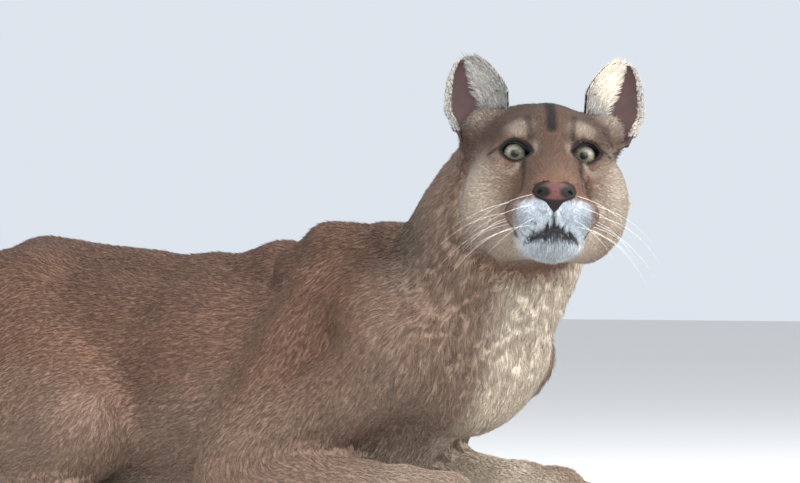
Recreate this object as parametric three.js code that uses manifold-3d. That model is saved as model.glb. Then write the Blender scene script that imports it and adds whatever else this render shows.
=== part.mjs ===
// A life-size cougar that lies on its belly with its forelegs stretched forward and its head raised and
// turned to its right. Millimetres: +X is forward, +Y the animal's left, +Z up, and the floor is Z = 0.
//
// The body is one smooth field, made of limbs (tapered capsules) and lumps (ellipsoids) that melt into
// one another. The field is turned into a fine or coarse surface, one node at a time, and every node is
// parted from its neighbours by thin plane cuts.
import * as THREE from "three";
import { mergeVertices } from "three/addons/utils/BufferGeometryUtils.js";
import Module from "manifold-3d";

const wasm = await Module();
wasm.setup();

const GAP = 0.3; // between nodes that touch
const FAR = 4000; // longer than the animal, twice over

// Driving sizes of the body, as the animal lies.
const WITHERS_Z = 330;
const DIP_Z = 287; // the lowest point of the back
const HIP_Z = 309;
const TRUNK_HALF_WIDTH = 112;
const SHOULDER_Y = 88; // from the midline to each shoulder joint
const ELBOW_Y = 115;
const KNEE_Y = 130;
const HOCK_Y = 146;

// Driving sizes of the head, in its own frame: the origin is midway between the eyeballs, x forward,
// y left and z up, with the mouth level.
const HEAD_AT = [288, -85, 404];
const HEAD_YAW = -48.5; // degrees, turned to the right
const HEAD_PITCH = 13; // degrees, muzzle raised
const HEAD_ROLL = -2;
const EYE_Y = 37.5;
const EYE_Z = -4; // the eyes look out level, a little below the line of the raised muzzle
const EYE_RADIUS = 16.5;
const EAR_HALF_WIDTH = 35.5;
const EAR_DEPTH = 20;
const EAR_WALL = 4.5;
const EAR_WIDEST = 0.34; // of its height
const EAR_TAPER = 0.24; // how much narrower the tip is than a half ellipse

// Colours and roughness, from the photograph.
const TAWNY = { color: 0x9a6a48, roughness: 0.85 };
const FACE_TAWNY = { color: 0xa98467, roughness: 0.85 };
const DARK_TAIL = { color: 0x3a2a20, roughness: 0.85 };
const EAR_CREAM = { color: 0xc9bda6, roughness: 0.85 };
const NOSE_PINK = { color: 0x7a4a42, roughness: 0.45 };
const EYE_OLIVE = { color: 0x8b8a63, roughness: 0.1 };

// Distances from a point to the simple forms. Each form has a width along Y that differs from its height.
const vector = (a) => new THREE.Vector3(...a);

function limb(from, to, fromRadius, toRadius, { wide = 1, blend = 30 } = {}) {
  const a = vector(from).divide(new THREE.Vector3(1, wide, 1));
  const along = vector(to).divide(new THREE.Vector3(1, wide, 1)).sub(a);
  const length2 = along.lengthSq();
  const distance = (x, y, z) => {
    const px = x - a.x, py = y / wide - a.y, pz = z - a.z;
    const t = Math.min(1, Math.max(0, (px * along.x + py * along.y + pz * along.z) / length2));
    const dx = px - t * along.x, dy = py - t * along.y, dz = pz - t * along.z;
    return Math.sqrt(dx * dx + dy * dy + dz * dz) - (fromRadius + t * (toRadius - fromRadius));
  };
  return { distance, blend };
}

function lump(centre, radii, { blend = 12 } = {}) {
  const [cx, cy, cz] = centre;
  const [rx, ry, rz] = radii;
  const distance = (x, y, z) => {
    const ax = (x - cx) / rx, ay = (y - cy) / ry, az = (z - cz) / rz;
    const bx = ax / rx, by = ay / ry, bz = az / rz;
    const near = Math.sqrt(ax * ax + ay * ay + az * az);
    const slope = Math.sqrt(bx * bx + by * by + bz * bz) + 1e-9;
    return (near * (near - 1)) / slope;
  };
  return { distance, blend };
}

// The smooth union of two distances, rounded over the width k.
function melt(a, b, k) {
  const h = Math.max(0, k - Math.abs(a - b)) / k;
  return Math.min(a, b) - (h * h * k) / 4;
}

const fieldOf = (forms) => (x, y, z) =>
  forms.reduce((d, form) => melt(d, form.distance(x, y, z), form.blend), 1e3);

// Both sides: a form is written for the left and repeated, mirrored, for the right.
const mirrored = ([x, y, z]) => [x, -y, z];
const bothSides = (make) => [make((p) => p), make(mirrored)].flat();

function trunkForms() {
  const ridge = { blend: 34 };
  return [
    limb([92, 0, 178], [-60, 0, 168], 88, 108, { wide: 0.96, blend: 30 }),
    limb([-60, 0, 140], [-230, 0, 136], 132, 140, { wide: TRUNK_HALF_WIDTH / 136, blend: 40 }),
    limb([-230, 0, 136], [-410, 0, 142], 140, 130, { wide: TRUNK_HALF_WIDTH / 136, blend: 40 }),
    limb([-360, 0, 196], [-500, 0, HIP_Z - 96], 96, 92, { blend: 40 }),
    limb([-500, 0, 205], [-575, 0, 176], 92, 70, { blend: 40 }),
    limb([-30, 0, WITHERS_Z - 40], [-150, 0, DIP_Z - 9], 32, 27, ridge),
    limb([-150, 0, DIP_Z - 9], [-250, 0, DIP_Z - 24], 27, 24, ridge),
    limb([-250, 0, DIP_Z - 24], [-500, 0, HIP_Z - 26], 24, 26, ridge),
    ...bothSides((side) => [
      limb(side([-470, 62, HIP_Z - 40]), side([-510, 66, HIP_Z - 48]), 34, 34, { blend: 34 }),
    ]),
  ];
}

function shoulderForms() {
  const joint = [92, SHOULDER_Y, 182];
  const elbow = [-122, ELBOW_Y, 52];
  return bothSides((side) => [
    limb(side([-46, 47, WITHERS_Z - 24]), side([22, 42, WITHERS_Z - 20]), 22, 20, { blend: 26 }),
    limb(side([-98, 44, WITHERS_Z - 49]), side([-46, 47, WITHERS_Z - 25]), 24, 22, { blend: 26 }),
    limb(side([-14, 54, WITHERS_Z - 48]), side([82, 84, 196]), 40, 52, { blend: 30 }),
    limb(side([40, 76, 232]), side(joint), 46, 54, { blend: 26 }),
    limb(side(joint), side(elbow), 54, 46, { blend: 26 }),
    limb(side([-32, 76, 246]), side([-112, 106, 92]), 46, 52, { blend: 26 }),
  ]);
}

function forelegForms() {
  const elbow = [-122, ELBOW_Y, 42];
  const wrist = [104, 104, 31];
  return bothSides((side) => [
    limb(side(elbow), side([-20, 112, 42]), 46, 45, { blend: 20 }),
    limb(side([-20, 112, 42]), side(wrist), 45, 33, { blend: 20 }),
    limb(side(wrist), side([160, 102, 27]), 33, 36, { blend: 18 }),
    ...toes(side, [186, 102, 21], 1),
  ]);
}

// Four round toes in an arc round the middle of the paw.
function toes(side, middle, scale) {
  const [x, y, z] = middle;
  return [-1.5, -0.5, 0.5, 1.5].map((place) =>
    lump(
      side([x + 12 - 9 * place * place * scale, y + place * 22 * scale, z]),
      [25 * scale, 13.5 * scale, 23 * scale],
      { blend: 7 },
    ),
  );
}

function hindlegForms() {
  const hip = [-498, 62, 204];
  const knee = [-335, KNEE_Y, 100];
  const hock = [-556, HOCK_Y, 44];
  return bothSides((side) => [
    limb(side(hip), side(knee), 76, 60, { blend: 34 }),
    limb(side([-528, 76, 168]), side([-430, 122, 108]), 72, 68, { blend: 34 }),
    limb(side([-356, KNEE_Y + 4, 82]), side(hock), 56, 31, { blend: 26 }),
    limb(side(hock), side([-440, HOCK_Y - 2, 25]), 30, 26, { blend: 22 }),
    limb(side([-440, HOCK_Y - 2, 25]), side([-350, HOCK_Y + 8, 23]), 27, 33, { blend: 18 }),
    ...toes(side, [-332, HOCK_Y + 10, 19], 0.92),
  ]);
}

// The tail drops from the rump and lies on the floor in one long bend to the left.
const TAIL_LINE = new THREE.CatmullRomCurve3(
  [
    [-575, 0, 206],
    [-650, 4, 146],
    [-718, 14, 68],
    [-800, 36, 27],
    [-900, 84, 24],
    [-990, 160, 23],
    [-1046, 262, 23],
    [-1046, 378, 22],
  ].map(vector),
);
const TAIL_STEPS = 16;
const TAIL_ROOT_RADIUS = 52;
const TAIL_RADIUS = 29;
const TAIL_TIP_RADIUS = 23;
function tailRadius(along) {
  const root = Math.max(0, 1 - along / 0.16);
  return TAIL_RADIUS + (TAIL_TIP_RADIUS - TAIL_RADIUS) * along + (TAIL_ROOT_RADIUS - TAIL_RADIUS) * root ** 2;
}
const TAIL = Array.from({ length: TAIL_STEPS + 1 }, (_, n) => ({
  at: TAIL_LINE.getPoint(n / TAIL_STEPS).toArray(),
  radius: tailRadius(n / TAIL_STEPS),
}));
const tailForms = () =>
  TAIL.slice(1).map(({ at, radius }, i) =>
    limb(TAIL[i].at, at, TAIL[i].radius, radius, { blend: 12 }),
  );

function neckForms() {
  return [
    limb([112, 0, 212], [158, -2, 305], 98, 86, { wide: 0.95, blend: 40 }),
    limb([158, -2, 305], [214, -20, 374], 86, 74, { wide: 0.98, blend: 40 }),
    limb([62, 0, 284], [172, -10, 400], 42, 46, { blend: 40 }),
  ];
}

// The head's forms, in the head's own frame.
function headForms() {
  return [
    lump([-62, 0, 16], [70, 58, 53], { blend: 20 }),
    lump([-16, 0, 12], [42, 45, 40], { blend: 24 }),
    lump([-62, 0, -40], [52, 60, 52], { blend: 24 }),
    ...bothSides((side) => [
      lump(side([-62, 44, 20]), [46, 29, 38], { blend: 20 }),
      lump(side([-30, 54, -32]), [44, 32, 38], { blend: 24 }),
      lump(side([-56, 56, -55]), [46, 34, 39], { blend: 24 }),
      lump(side([-4, 34, 16]), [22, 22, 16], { blend: 20 }),
      lump(side([-2, 38, -20]), [24, 22, 18], { blend: 24 }),
    ]),
    limb([0, 0, -44], [50, 0, -72], 44, 34, { blend: 22 }),
    limb([0, 0, 4], [62, 0, -52], 28, 21, { wide: 1.15, blend: 20 }),
    lump([66, 0, -62], [17, 25, 15], { blend: 8 }),
    ...bothSides((side) => [
      lump(side([52, 23, -79]), [29, 28, 21], { blend: 10 }),
      limb(side([42, 11, -108]), side([-40, 41, -85]), 17, 27, { blend: 26 }),
      lump(side([-2, EYE_Y, EYE_Z]), [22, 23, 19], { blend: 14 }),
      lump(side([-72, 70, 40]), [20, 20, 24], { blend: 26 }),
    ]),
    lump([49, 0, -110], [22, 25, 20], { blend: 14 }),
    limb([10, 0, -90], [-60, 0, -74], 23, 36, { blend: 22 }),
  ];
}

// The head's frame, set on the neck.
const headFrame = new THREE.Matrix4().compose(
  vector(HEAD_AT),
  new THREE.Quaternion().setFromEuler(
    new THREE.Euler(
      THREE.MathUtils.degToRad(HEAD_ROLL),
      THREE.MathUtils.degToRad(-HEAD_PITCH),
      THREE.MathUtils.degToRad(HEAD_YAW),
      "ZYX",
    ),
  ),
  new THREE.Vector3(1, 1, 1),
);
const toHead = headFrame.clone().invert().elements;
const headForm = fieldOf(headForms());
const bodyForm = fieldOf([
  ...trunkForms(),
  ...shoulderForms(),
  ...forelegForms(),
  ...hindlegForms(),
  ...tailForms(),
  ...neckForms(),
]);

function headDistance(x, y, z) {
  const m = toHead;
  return headForm(
    m[0] * x + m[4] * y + m[8] * z + m[12],
    m[1] * x + m[5] * y + m[9] * z + m[13],
    m[2] * x + m[6] * y + m[10] * z + m[14],
  );
}
const animal = (x, y, z) => melt(bodyForm(x, y, z), headDistance(x, y, z), 34);

// A cube's corners, its edges as pairs of corners, and the four edges round each of its faces.
const CORNERS = [0, 1, 2, 3, 4, 5, 6, 7].map((c) => [c & 1, (c >> 1) & 1, c >> 2]);
const EDGES = CORNERS.flatMap((_, a) =>
  [1, 2, 4].filter((bit) => !(a & bit)).map((bit) => [a, a | bit]),
);
const FACES = [0, 1, 2].flatMap((axis) =>
  [0, 1].map((side) =>
    [...EDGES.keys()].filter((e) => EDGES[e].every((corner) => CORNERS[corner][axis] === side)),
  ),
);
const edgeNumber = (a, b) => EDGES.findIndex((edge) => edge[0] === a && edge[1] === b);

// The edges of a cube that the surface crosses, in one list for each sheet of the surface.
function sheetsOf(v) {
  const crossed = [...EDGES.keys()].filter((e) => v[EDGES[e][0]] < 0 !== v[EDGES[e][1]] < 0);
  const sheet = new Map(crossed.map((e) => [e, e]));
  const join = (a, b) => {
    const [from, to] = [sheet.get(a), sheet.get(b)];
    for (const [e, name] of sheet) if (name === from) sheet.set(e, to);
  };
  for (const face of FACES) {
    const on = face.filter((e) => sheet.has(e));
    if (on.length === 2) join(...on);
    if (on.length === 4)
      for (const a of on)
        for (const b of on)
          if (EDGES[a].some((corner) => EDGES[b].includes(corner) && v[corner] < 0)) join(a, b);
  }
  return [...new Set(sheet.values())].map((name) => crossed.filter((e) => sheet.get(e) === name));
}

// The field's surface inside a box, as a mesh of quads on a grid of cubes: a vertex for each sheet in a
// cube, and a quad for each grid edge that the surface crosses. The vertices are then evened out and
// drawn back on to the surface.
function surface(field, low, high, cell) {
  const count = low.map((v, i) => Math.ceil((high[i] - v) / cell) + 1);
  const [nx, ny, nz] = count;
  const at = (i, j, k) => i + nx * (j + ny * k);
  const value = new Float64Array(nx * ny * nz).fill(cell);
  for (let k = 1; k < nz - 1; k++)
    for (let j = 1; j < ny - 1; j++)
      for (let i = 1; i < nx - 1; i++)
        value[at(i, j, k)] = field(low[0] + i * cell, low[1] + j * cell, low[2] + k * cell);

  const vertexOf = new Map();
  const points = [];
  for (let k = 0; k < nz - 1; k++)
    for (let j = 0; j < ny - 1; j++)
      for (let i = 0; i < nx - 1; i++) {
        const v = CORNERS.map(([a, b, c]) => value[at(i + a, j + b, k + c)]);
        for (const sheet of sheetsOf(v)) {
          const sum = [0, 0, 0];
          for (const e of sheet) {
            const [a, b] = EDGES[e];
            const t = v[a] / (v[a] - v[b]);
            for (const axis of [0, 1, 2])
              sum[axis] += CORNERS[a][axis] + t * (CORNERS[b][axis] - CORNERS[a][axis]);
            vertexOf.set(at(i, j, k) * EDGES.length + e, points.length);
          }
          points.push([i, j, k].map((n, axis) => low[axis] + cell * (n + sum[axis] / sheet.length)));
        }
      }

  // Round the grid edge that runs from (i, j, k) along an axis stand four cubes, one step back or not
  // along each of the other two axes.
  const faces = [];
  const ring = [[0, 0], [1, 0], [1, 1], [0, 1]];
  for (let k = 0; k < nz - 1; k++)
    for (let j = 0; j < ny - 1; j++)
      for (let i = 0; i < nx - 1; i++)
        for (const axis of [0, 1, 2]) {
          const start = [i, j, k];
          const end = start.map((n, q) => n + (q === axis ? 1 : 0));
          const within = value[at(...start)] < 0;
          if (within === value[at(...end)] < 0) continue;
          const [u, w] = [(axis + 1) % 3, (axis + 2) % 3];
          const quad = ring.map(([backU, backW]) => {
            const cube = [...start];
            cube[u] -= backU;
            cube[w] -= backW;
            const corner = (backU << u) | (backW << w);
            return vertexOf.get(at(...cube) * EDGES.length + edgeNumber(corner, corner | (1 << axis)));
          });
          faces.push(within ? quad : quad.reverse());
        }
  if (!isClosed(faces)) return null;
  settle(points, faces, field, low, high, cell);
  const index = faces.flatMap(([a, b, c, d]) => shorterSplit(points, a, b, c, d));
  return new THREE.BufferGeometry()
    .setAttribute("position", new THREE.Float32BufferAttribute(points.flat(), 3))
    .setIndex(index);
}

// Whether every side of every quad is shared by exactly two quads.
function isClosed(faces) {
  const uses = new Map();
  for (const face of faces)
    face.forEach((p, n) => {
      const q = face[(n + 1) % 4];
      const side = Math.min(p, q) + "," + Math.max(p, q);
      uses.set(side, (uses.get(side) ?? 0) + 1);
    });
  return [...uses.values()].every((n) => n === 2);
}

// A quad as two triangles, parted along its shorter diagonal.
function shorterSplit(points, a, b, c, d) {
  const gap = (p, q) => Math.hypot(...points[p].map((v, i) => v - points[q][i]));
  return gap(a, c) < gap(b, d) ? [a, b, c, a, c, d] : [a, b, d, b, c, d];
}

function settle(points, faces, field, low, high, cell) {
  const near = points.map(() => []);
  for (const face of faces) face.forEach((p, n) => near[p].push(face[(n + 1) % 4]));
  const margin = 2.5 * cell; // the caps at the box's own walls are cut off later, and stay as they are
  const free = points.map((p) => p.every((v, i) => v > low[i] + margin && v < high[i] - margin));
  const step = 0.5;
  for (let round = 0; round < 6; round++) {
    const evened = points.map((p, n) =>
      free[n] ? p.map((v, i) => near[n].reduce((s, q) => s + points[q][i], 0) / near[n].length) : p,
    );
    evened.forEach((p, n) => {
      if (!free[n]) return;
      for (let turn = 0; turn < 2; turn++) {
        const d = field(...p);
        const slope = [0, 1, 2].map((i) => {
          const q = [...p];
          q[i] += step;
          return (field(...q) - d) / step;
        });
        const size2 = slope.reduce((s, g) => s + g * g, 1e-6);
        p = p.map((v, i) => v - (d * slope[i]) / size2);
      }
      points[n] = p;
    });
  }
}

// Solids for joining and cutting.
function solid(geometry) {
  const bare = geometry.clone();
  for (const name of ["normal", "uv"]) bare.deleteAttribute(name);
  const merged = mergeVertices(bare, 1e-4);
  return new wasm.Manifold(
    new wasm.Mesh({
      numProp: 3,
      vertProperties: merged.attributes.position.array,
      triVerts: new Uint32Array(merged.index.array),
    }),
  );
}

function geometryOf(body) {
  const mesh = body.getMesh();
  return new THREE.BufferGeometry()
    .setAttribute("position", new THREE.BufferAttribute(mesh.vertProperties, 3))
    .setIndex(new THREE.BufferAttribute(mesh.triVerts, 1));
}

const largest = (body) => body.decompose().sort((a, b) => b.volume() - a.volume())[0];

// Everything beyond a plane, on the side that its normal points to, from half a gap past the plane.
function beyond(point, normal) {
  const slab = new THREE.BoxGeometry(FAR, FAR, FAR);
  slab.translate(0, 0, FAR / 2 + GAP / 2);
  slab.applyQuaternion(
    new THREE.Quaternion().setFromUnitVectors(new THREE.Vector3(0, 0, 1), vector(normal).normalize()),
  );
  slab.translate(...point);
  return solid(slab);
}
const backward = (normal) => normal.map((v) => -v);
const floor = beyond([0, 0, -GAP / 2], [0, 0, 1]);

// The cuts: a point on each plane, and the way out of the trunk.
const NECK_CUT = { at: [96, 0, 268], way: [0.72, 0, 0.69] };
const HEAD_CUT = { at: [206, -20, 380], way: [0.66, -0.42, 0.45] };
const TAIL_CUTS = [2, 7, 12].map((n) => ({
  at: TAIL[n].at,
  way: TAIL[n + 1].at.map((v, i) => v - TAIL[n - 1].at[i]),
}));

const forelegCut = (side) => [
  { at: side([0, 74, 100]), way: side([0, 1, -0.1]) },
  { at: side([0, 100, 196]), way: side([-0.25, 0.35, -1]) },
  { at: side([-186, 100, 100]), way: [1, 0, -0.1] },
];
const forepawCuts = (side) => [
  { at: side([112, 103, 30]), way: [1, 0, 0] },
  { at: side([112, 103, 84]), way: [0, 0, -1] },
];
const hindlegCut = (side) => [
  { at: side([-400, 78, 100]), way: side([0, 1, -0.12]) },
  { at: side([-400, 120, 205]), way: side([0, 0.55, -1]) },
  { at: side([-268, 120, 100]), way: [-1, 0, 0.1] },
];
const hindpawCuts = (side) => [
  { at: side([-440, 142, 25]), way: [1, 0, 0] },
  { at: side([-440, 142, 56]), way: [-0.08, 0, -1] },
];

const inside = (cuts) => cuts.map(({ at, way }) => beyond(at, way));
const outside = ({ at, way }) => beyond(at, backward(way));
const common = (solids) => solids.reduce((a, b) => a.intersect(b));

// One node of the animal: its surface in a box, less what lies past its cuts. Where the grid makes four
// quads meet on one side, it is moved a little and tried again.
function nodeSolid(low, high, cell, keep, remove = []) {
  let shell = null;
  for (let shift = 0; !shell && shift < 1; shift += 0.13)
    shell = surface(animal, low.map((v) => v - shift * cell), high, cell);
  let body = solid(shell).intersect(floor);
  for (const region of keep) body = body.intersect(region);
  for (const region of remove) body = body.subtract(region);
  return largest(body);
}

// The cubes of each node's grid: fine where the form is.
const TORSO_CELL = 33;
const NECK_CELL = 21.5;
const LEG_CELL = 22;
const PAW_CELL = 12.5;
const TAIL_CELL = 17;
const HEAD_CELL = 10.5;
const NOSE_CELL = 5;

const group = new THREE.Group();
function add(name, body, material) {
  const mesh = new THREE.Mesh(geometryOf(body), new THREE.MeshStandardMaterial(material));
  mesh.name = name;
  group.add(mesh);
}

const SIDES = { left: (p) => p, right: mirrored };

// A block that is a little larger than a leg's own region, to be taken from the trunk.
function legBlock(cuts) {
  const eased = cuts.map(({ at, way }) => {
    const unit = vector(way).normalize().multiplyScalar(GAP);
    return { at: [at[0] - unit.x, at[1] - unit.y, at[2] - unit.z], way };
  });
  return common(inside(eased));
}

const legBlocks = Object.values(SIDES).flatMap((side) => [
  legBlock(forelegCut(side)),
  legBlock(hindlegCut(side)),
]);

add(
  "torso",
  nodeSolid([-760, -260, -60], [270, 260, 400], TORSO_CELL, [outside(NECK_CUT), outside(TAIL_CUTS[0])], legBlocks),
  TAWNY,
);
add(
  "neck",
  nodeSolid([-40, -190, 60], [380, 190, 560], NECK_CELL, [...inside([NECK_CUT]), outside(HEAD_CUT)]),
  TAWNY,
);
for (const [name, side] of Object.entries(SIDES)) {
  const box = (low, high) => [
    [low[0], Math.min(side(low)[1], side(high)[1]), low[2]],
    [high[0], Math.max(side(low)[1], side(high)[1]), high[2]],
  ];
  const foreleg = inside(forelegCut(side));
  const forepaw = forepawCuts(side);
  const [legLow, legHigh] = box([-230, 40, -50], [240, 240, 280]);
  add(`foreleg_${name}`, nodeSolid(legLow, legHigh, LEG_CELL, foreleg, [legBlock(forepaw)]), TAWNY);
  const [pawLow, pawHigh] = box([70, 20, -40], [260, 190, 130]);
  add(`forepaw_${name}`, nodeSolid(pawLow, pawHigh, PAW_CELL, inside(forepaw)), TAWNY);

  const hindleg = inside(hindlegCut(side));
  const hindpaw = hindpawCuts(side);
  const [thighLow, thighHigh] = box([-720, 40, -50], [-200, 300, 290]);
  add(`hindleg_${name}`, nodeSolid(thighLow, thighHigh, LEG_CELL, hindleg, [legBlock(hindpaw)]), TAWNY);
  const [footLow, footHigh] = box([-480, 60, -40], [-230, 250, 110]);
  add(`hindpaw_${name}`, nodeSolid(footLow, footHigh, PAW_CELL, [...hindleg, ...inside(hindpaw)]), TAWNY);
}
const tailNames = ["tail_base", "tail_middle", "tail_tip"];
const tailBoxes = [
  [[-960, -60, -50], [-560, 170, 270]],
  [[-1130, 0, -50], [-760, 330, 100]],
  [[-1130, 170, -50], [-940, 470, 100]],
];
tailNames.forEach((name, n) => {
  const ends = [...inside([TAIL_CUTS[n]]), ...(TAIL_CUTS[n + 1] ? [outside(TAIL_CUTS[n + 1])] : [])];
  const [low, high] = tailBoxes[n];
  add(name, nodeSolid(low, high, TAIL_CELL, ends), name === "tail_tip" ? DARK_TAIL : TAWNY);
});

// The face: openings for the eyes, a groove between the lips, and the nose as a block of its own.
const place = (body) => body.transform(headFrame.elements);
const headSolid = (geometry) => place(solid(geometry));

function eyeball(side, radius) {
  const ball = new THREE.SphereGeometry(radius, 18, 11);
  ball.translate(...side([0, EYE_Y, EYE_Z]));
  return headSolid(ball);
}

// The almond between the lids, pushed forward through them from the middle of the eyeball.
function lidOpening(side) {
  const outline = new THREE.Shape();
  const [inner, outer] = [[-15.5, -3.5], [15.5, 2.5]];
  outline.moveTo(...inner);
  outline.bezierCurveTo(-10, 13, 8, 18, ...outer);
  outline.bezierCurveTo(9, -13, -6, -15.5, ...inner);
  const almond = new THREE.ExtrudeGeometry(outline, { depth: 40, bevelEnabled: false, curveSegments: 7 });
  // The outline's x runs away from the nose and its y runs up.
  const away = side([0, 1, 0])[1];
  const turn = new THREE.Matrix4().makeBasis(
    new THREE.Vector3(0, away, 0),
    new THREE.Vector3(0, 0, 1),
    new THREE.Vector3(away, 0, 0),
  );
  almond.applyMatrix4(turn);
  if (away < 0) almond.translate(40, 0, 0);
  almond.translate(...side([4, EYE_Y, EYE_Z]));
  return headSolid(almond);
}

// A point of the head's own frame, drawn on to the surface of the head.
function onHead(point) {
  let p = vector(point);
  for (let turn = 0; turn < 6; turn++) {
    const d = headForm(...p.toArray());
    const slope = new THREE.Vector3(
      headForm(p.x + 0.5, p.y, p.z) - d,
      headForm(p.x, p.y + 0.5, p.z) - d,
      headForm(p.x, p.y, p.z + 0.5) - d,
    ).divideScalar(0.5);
    p.addScaledVector(slope, -d / Math.max(slope.lengthSq(), 1e-6));
  }
  return p;
}

// A tube along a line, closed at both ends.
function closedTube(line, steps, radius, sides) {
  const tube = new THREE.TubeGeometry(line, steps, radius, sides);
  const points = [...tube.attributes.position.array];
  const index = [...tube.index.array];
  const start = points.length / 3;
  const lastRing = steps * (sides + 1);
  points.push(...line.getPoint(0).toArray(), ...line.getPoint(1).toArray());
  for (let n = 0; n < sides; n++) {
    index.push(start, n, n + 1);
    index.push(start + 1, lastRing + n + 1, lastRing + n);
  }
  return new THREE.BufferGeometry()
    .setAttribute("position", new THREE.Float32BufferAttribute(points, 3))
    .setIndex(index);
}

const LIP_LINE = [
  [30, 41, -101],
  [50, 34, -102],
  [64, 20, -100],
  [72, 8, -96],
  [74, 0, -93],
];
function lipGroove() {
  const left = LIP_LINE.map(onHead);
  const right = left.slice(0, -1).reverse().map((p) => new THREE.Vector3(p.x, -p.y, p.z));
  const line = new THREE.CatmullRomCurve3([...left, ...right]);
  return headSolid(closedTube(line, 24, 2.4, 5));
}

// The nose pad's outline, seen from the front: wide above, narrowing to the groove over the lip.
function noseBlock(ease) {
  const half = [
    [0, -53],
    [12, -50.5],
    [21, -54.5],
    [24, -61.5],
    [19.5, -68.5],
    [9.5, -73.5],
    [4.5, -80],
    [0, -84],
  ];
  const all = [...half, ...half.slice(1, -1).reverse().map(([y, z]) => [-y, z])];
  const middle = [0, -65.5];
  const eased = all.map(([y, z]) => {
    const out = new THREE.Vector2(y - middle[0], z - middle[1]);
    out.setLength(out.length() + ease);
    return new THREE.Vector2(out.x + middle[0], out.y + middle[1]);
  });
  const block = new THREE.ExtrudeGeometry(new THREE.Shape(eased), { depth: 60, bevelEnabled: false });
  block.applyMatrix4(
    new THREE.Matrix4().makeBasis(
      new THREE.Vector3(0, 1, 0),
      new THREE.Vector3(0, 0, 1),
      new THREE.Vector3(1, 0, 0),
    ),
  );
  block.translate(64 - ease, 0, 0);
  return headSolid(block);
}

function nostril(side) {
  const hole = new THREE.CylinderGeometry(2, 5.6, 26, 14);
  hole.scale(1, 1, 0.62);
  hole.rotateZ(-Math.PI / 2);
  hole.rotateX(side([0, -0.5, 0])[1]);
  hole.rotateZ(side([0, 0.62, 0])[1]);
  hole.translate(...side([78, 13, -63.5]));
  return headSolid(hole);
}

// An ear: a thin shell, curved round its own height like half a cup, with a rounded tip.
const EAR_FOOT = [-60, 69, 44];
const EAR_TIP = [-72, 91, 122];
const EAR_OPENING = new THREE.Vector3(0.92, 0.39, 0.03); // the way the left ear's cup faces
function earShell(side) {
  const rows = 10;
  const columns = 8;
  const foot = vector(EAR_FOOT);
  const up = vector(EAR_TIP).sub(foot);
  const height = up.length();
  up.normalize();
  const facing = EAR_OPENING.clone().addScaledVector(up, -EAR_OPENING.dot(up)).normalize();
  const across = up.clone().cross(facing);
  const points = [];
  const wallAt = (s) => EAR_WALL * (0.35 + 0.65 * Math.sqrt(Math.max(0, 1 - s * s)));
  for (const back of [0, 1])
    for (let row = 0; row <= rows; row++) {
      const t = 0.985 * (row / rows);
      const rise = Math.max(0, t - EAR_WIDEST) / (1 - EAR_WIDEST);
      const round = Math.sqrt(1 - rise * rise) * (1 - EAR_TAPER * rise);
      const half = EAR_HALF_WIDTH * (0.86 + 0.14 * Math.min(1, t / EAR_WIDEST)) * round;
      const depth = EAR_DEPTH * (1 - t) ** 0.6 + 2;
      for (let column = 0; column <= columns; column++) {
        const s = (2 * column) / columns - 1;
        const p = foot.clone().addScaledVector(up, height * t + back * 1.5 * t);
        p.addScaledVector(across, s * (half + back * 0.8));
        p.addScaledVector(facing, -depth * (1 - s * s) - back * wallAt(s));
        points.push(side(p.toArray()));
      }
    }
  const width = columns + 1;
  const sheet = (rows + 1) * width;
  const index = [];
  const face = (a, b, c, d) => index.push(a, b, c, a, c, d);
  for (let row = 0; row < rows; row++)
    for (let column = 0; column < columns; column++) {
      const a = row * width + column;
      face(a, a + 1, a + width + 1, a + width);
      face(a + sheet + width, a + sheet + width + 1, a + sheet + 1, a + sheet);
    }
  for (let row = 0; row < rows; row++) {
    const [a, b] = [row * width, row * width + columns];
    face(a, a + width, a + width + sheet, a + sheet);
    face(b + width, b, b + sheet, b + width + sheet);
  }
  for (let column = 0; column < columns; column++) {
    const [a, b] = [column, rows * width + column];
    face(a + 1, a, a + sheet, a + 1 + sheet);
    face(b, b + 1, b + 1 + sheet, b + sheet);
  }
  const geometry = new THREE.BufferGeometry()
    .setAttribute("position", new THREE.Float32BufferAttribute(points.flat(), 3))
    .setIndex(index);
  const body = new wasm.Manifold(
    new wasm.Mesh({
      numProp: 3,
      vertProperties: geometry.attributes.position.array,
      triVerts: new Uint32Array(side === mirrored ? flipped(index) : index),
    }),
  );
  return place(body);
}
const flipped = (index) => index.map((v, i) => index[i - (i % 3) + [0, 2, 1][i % 3]]);

// Where each ear is parted from the head: a plane that lies on the skull round the ear's foot.
const EAR_CUT_AT = [-60, 80, 72];
const EAR_CUT_WAY = [-0.1, 0.5, 0.86];
function earCut(side) {
  const at = vector(side(EAR_CUT_AT)).applyMatrix4(headFrame);
  const tip = vector(side(EAR_CUT_AT)).add(vector(side(EAR_CUT_WAY))).applyMatrix4(headFrame);
  return { at: at.toArray(), way: tip.sub(at).toArray() };
}

let head = nodeSolid([110, -300, 210], [460, 160, 560], HEAD_CELL, inside([HEAD_CUT]));
for (const [name, side] of Object.entries(SIDES)) {
  const shell = earShell(side);
  const cut = earCut(side);
  add(`ear_${name}`, largest(shell.intersect(beyond(cut.at, cut.way))), EAR_CREAM);
  head = head.add(shell.intersect(outside(cut)));
}
for (const [name, side] of Object.entries(SIDES)) {
  head = head.subtract(lidOpening(side)).subtract(eyeball(side, EYE_RADIUS + GAP));
  add(`eye_${name}`, eyeball(side, EYE_RADIUS), EYE_OLIVE);
}
const [noseLow, noseHigh] = [[290, -230, 300], [400, -100, 420]];
const nose = [nostril(SIDES.left), nostril(SIDES.right)].reduce(
  (a, b) => a.subtract(b),
  nodeSolid(noseLow, noseHigh, NOSE_CELL, [noseBlock(0)]),
);
add("nose", largest(nose), NOSE_PINK);
head = head.subtract(lipGroove()).subtract(noseBlock(GAP));
add("head", largest(head), FACE_TAWNY);

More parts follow.
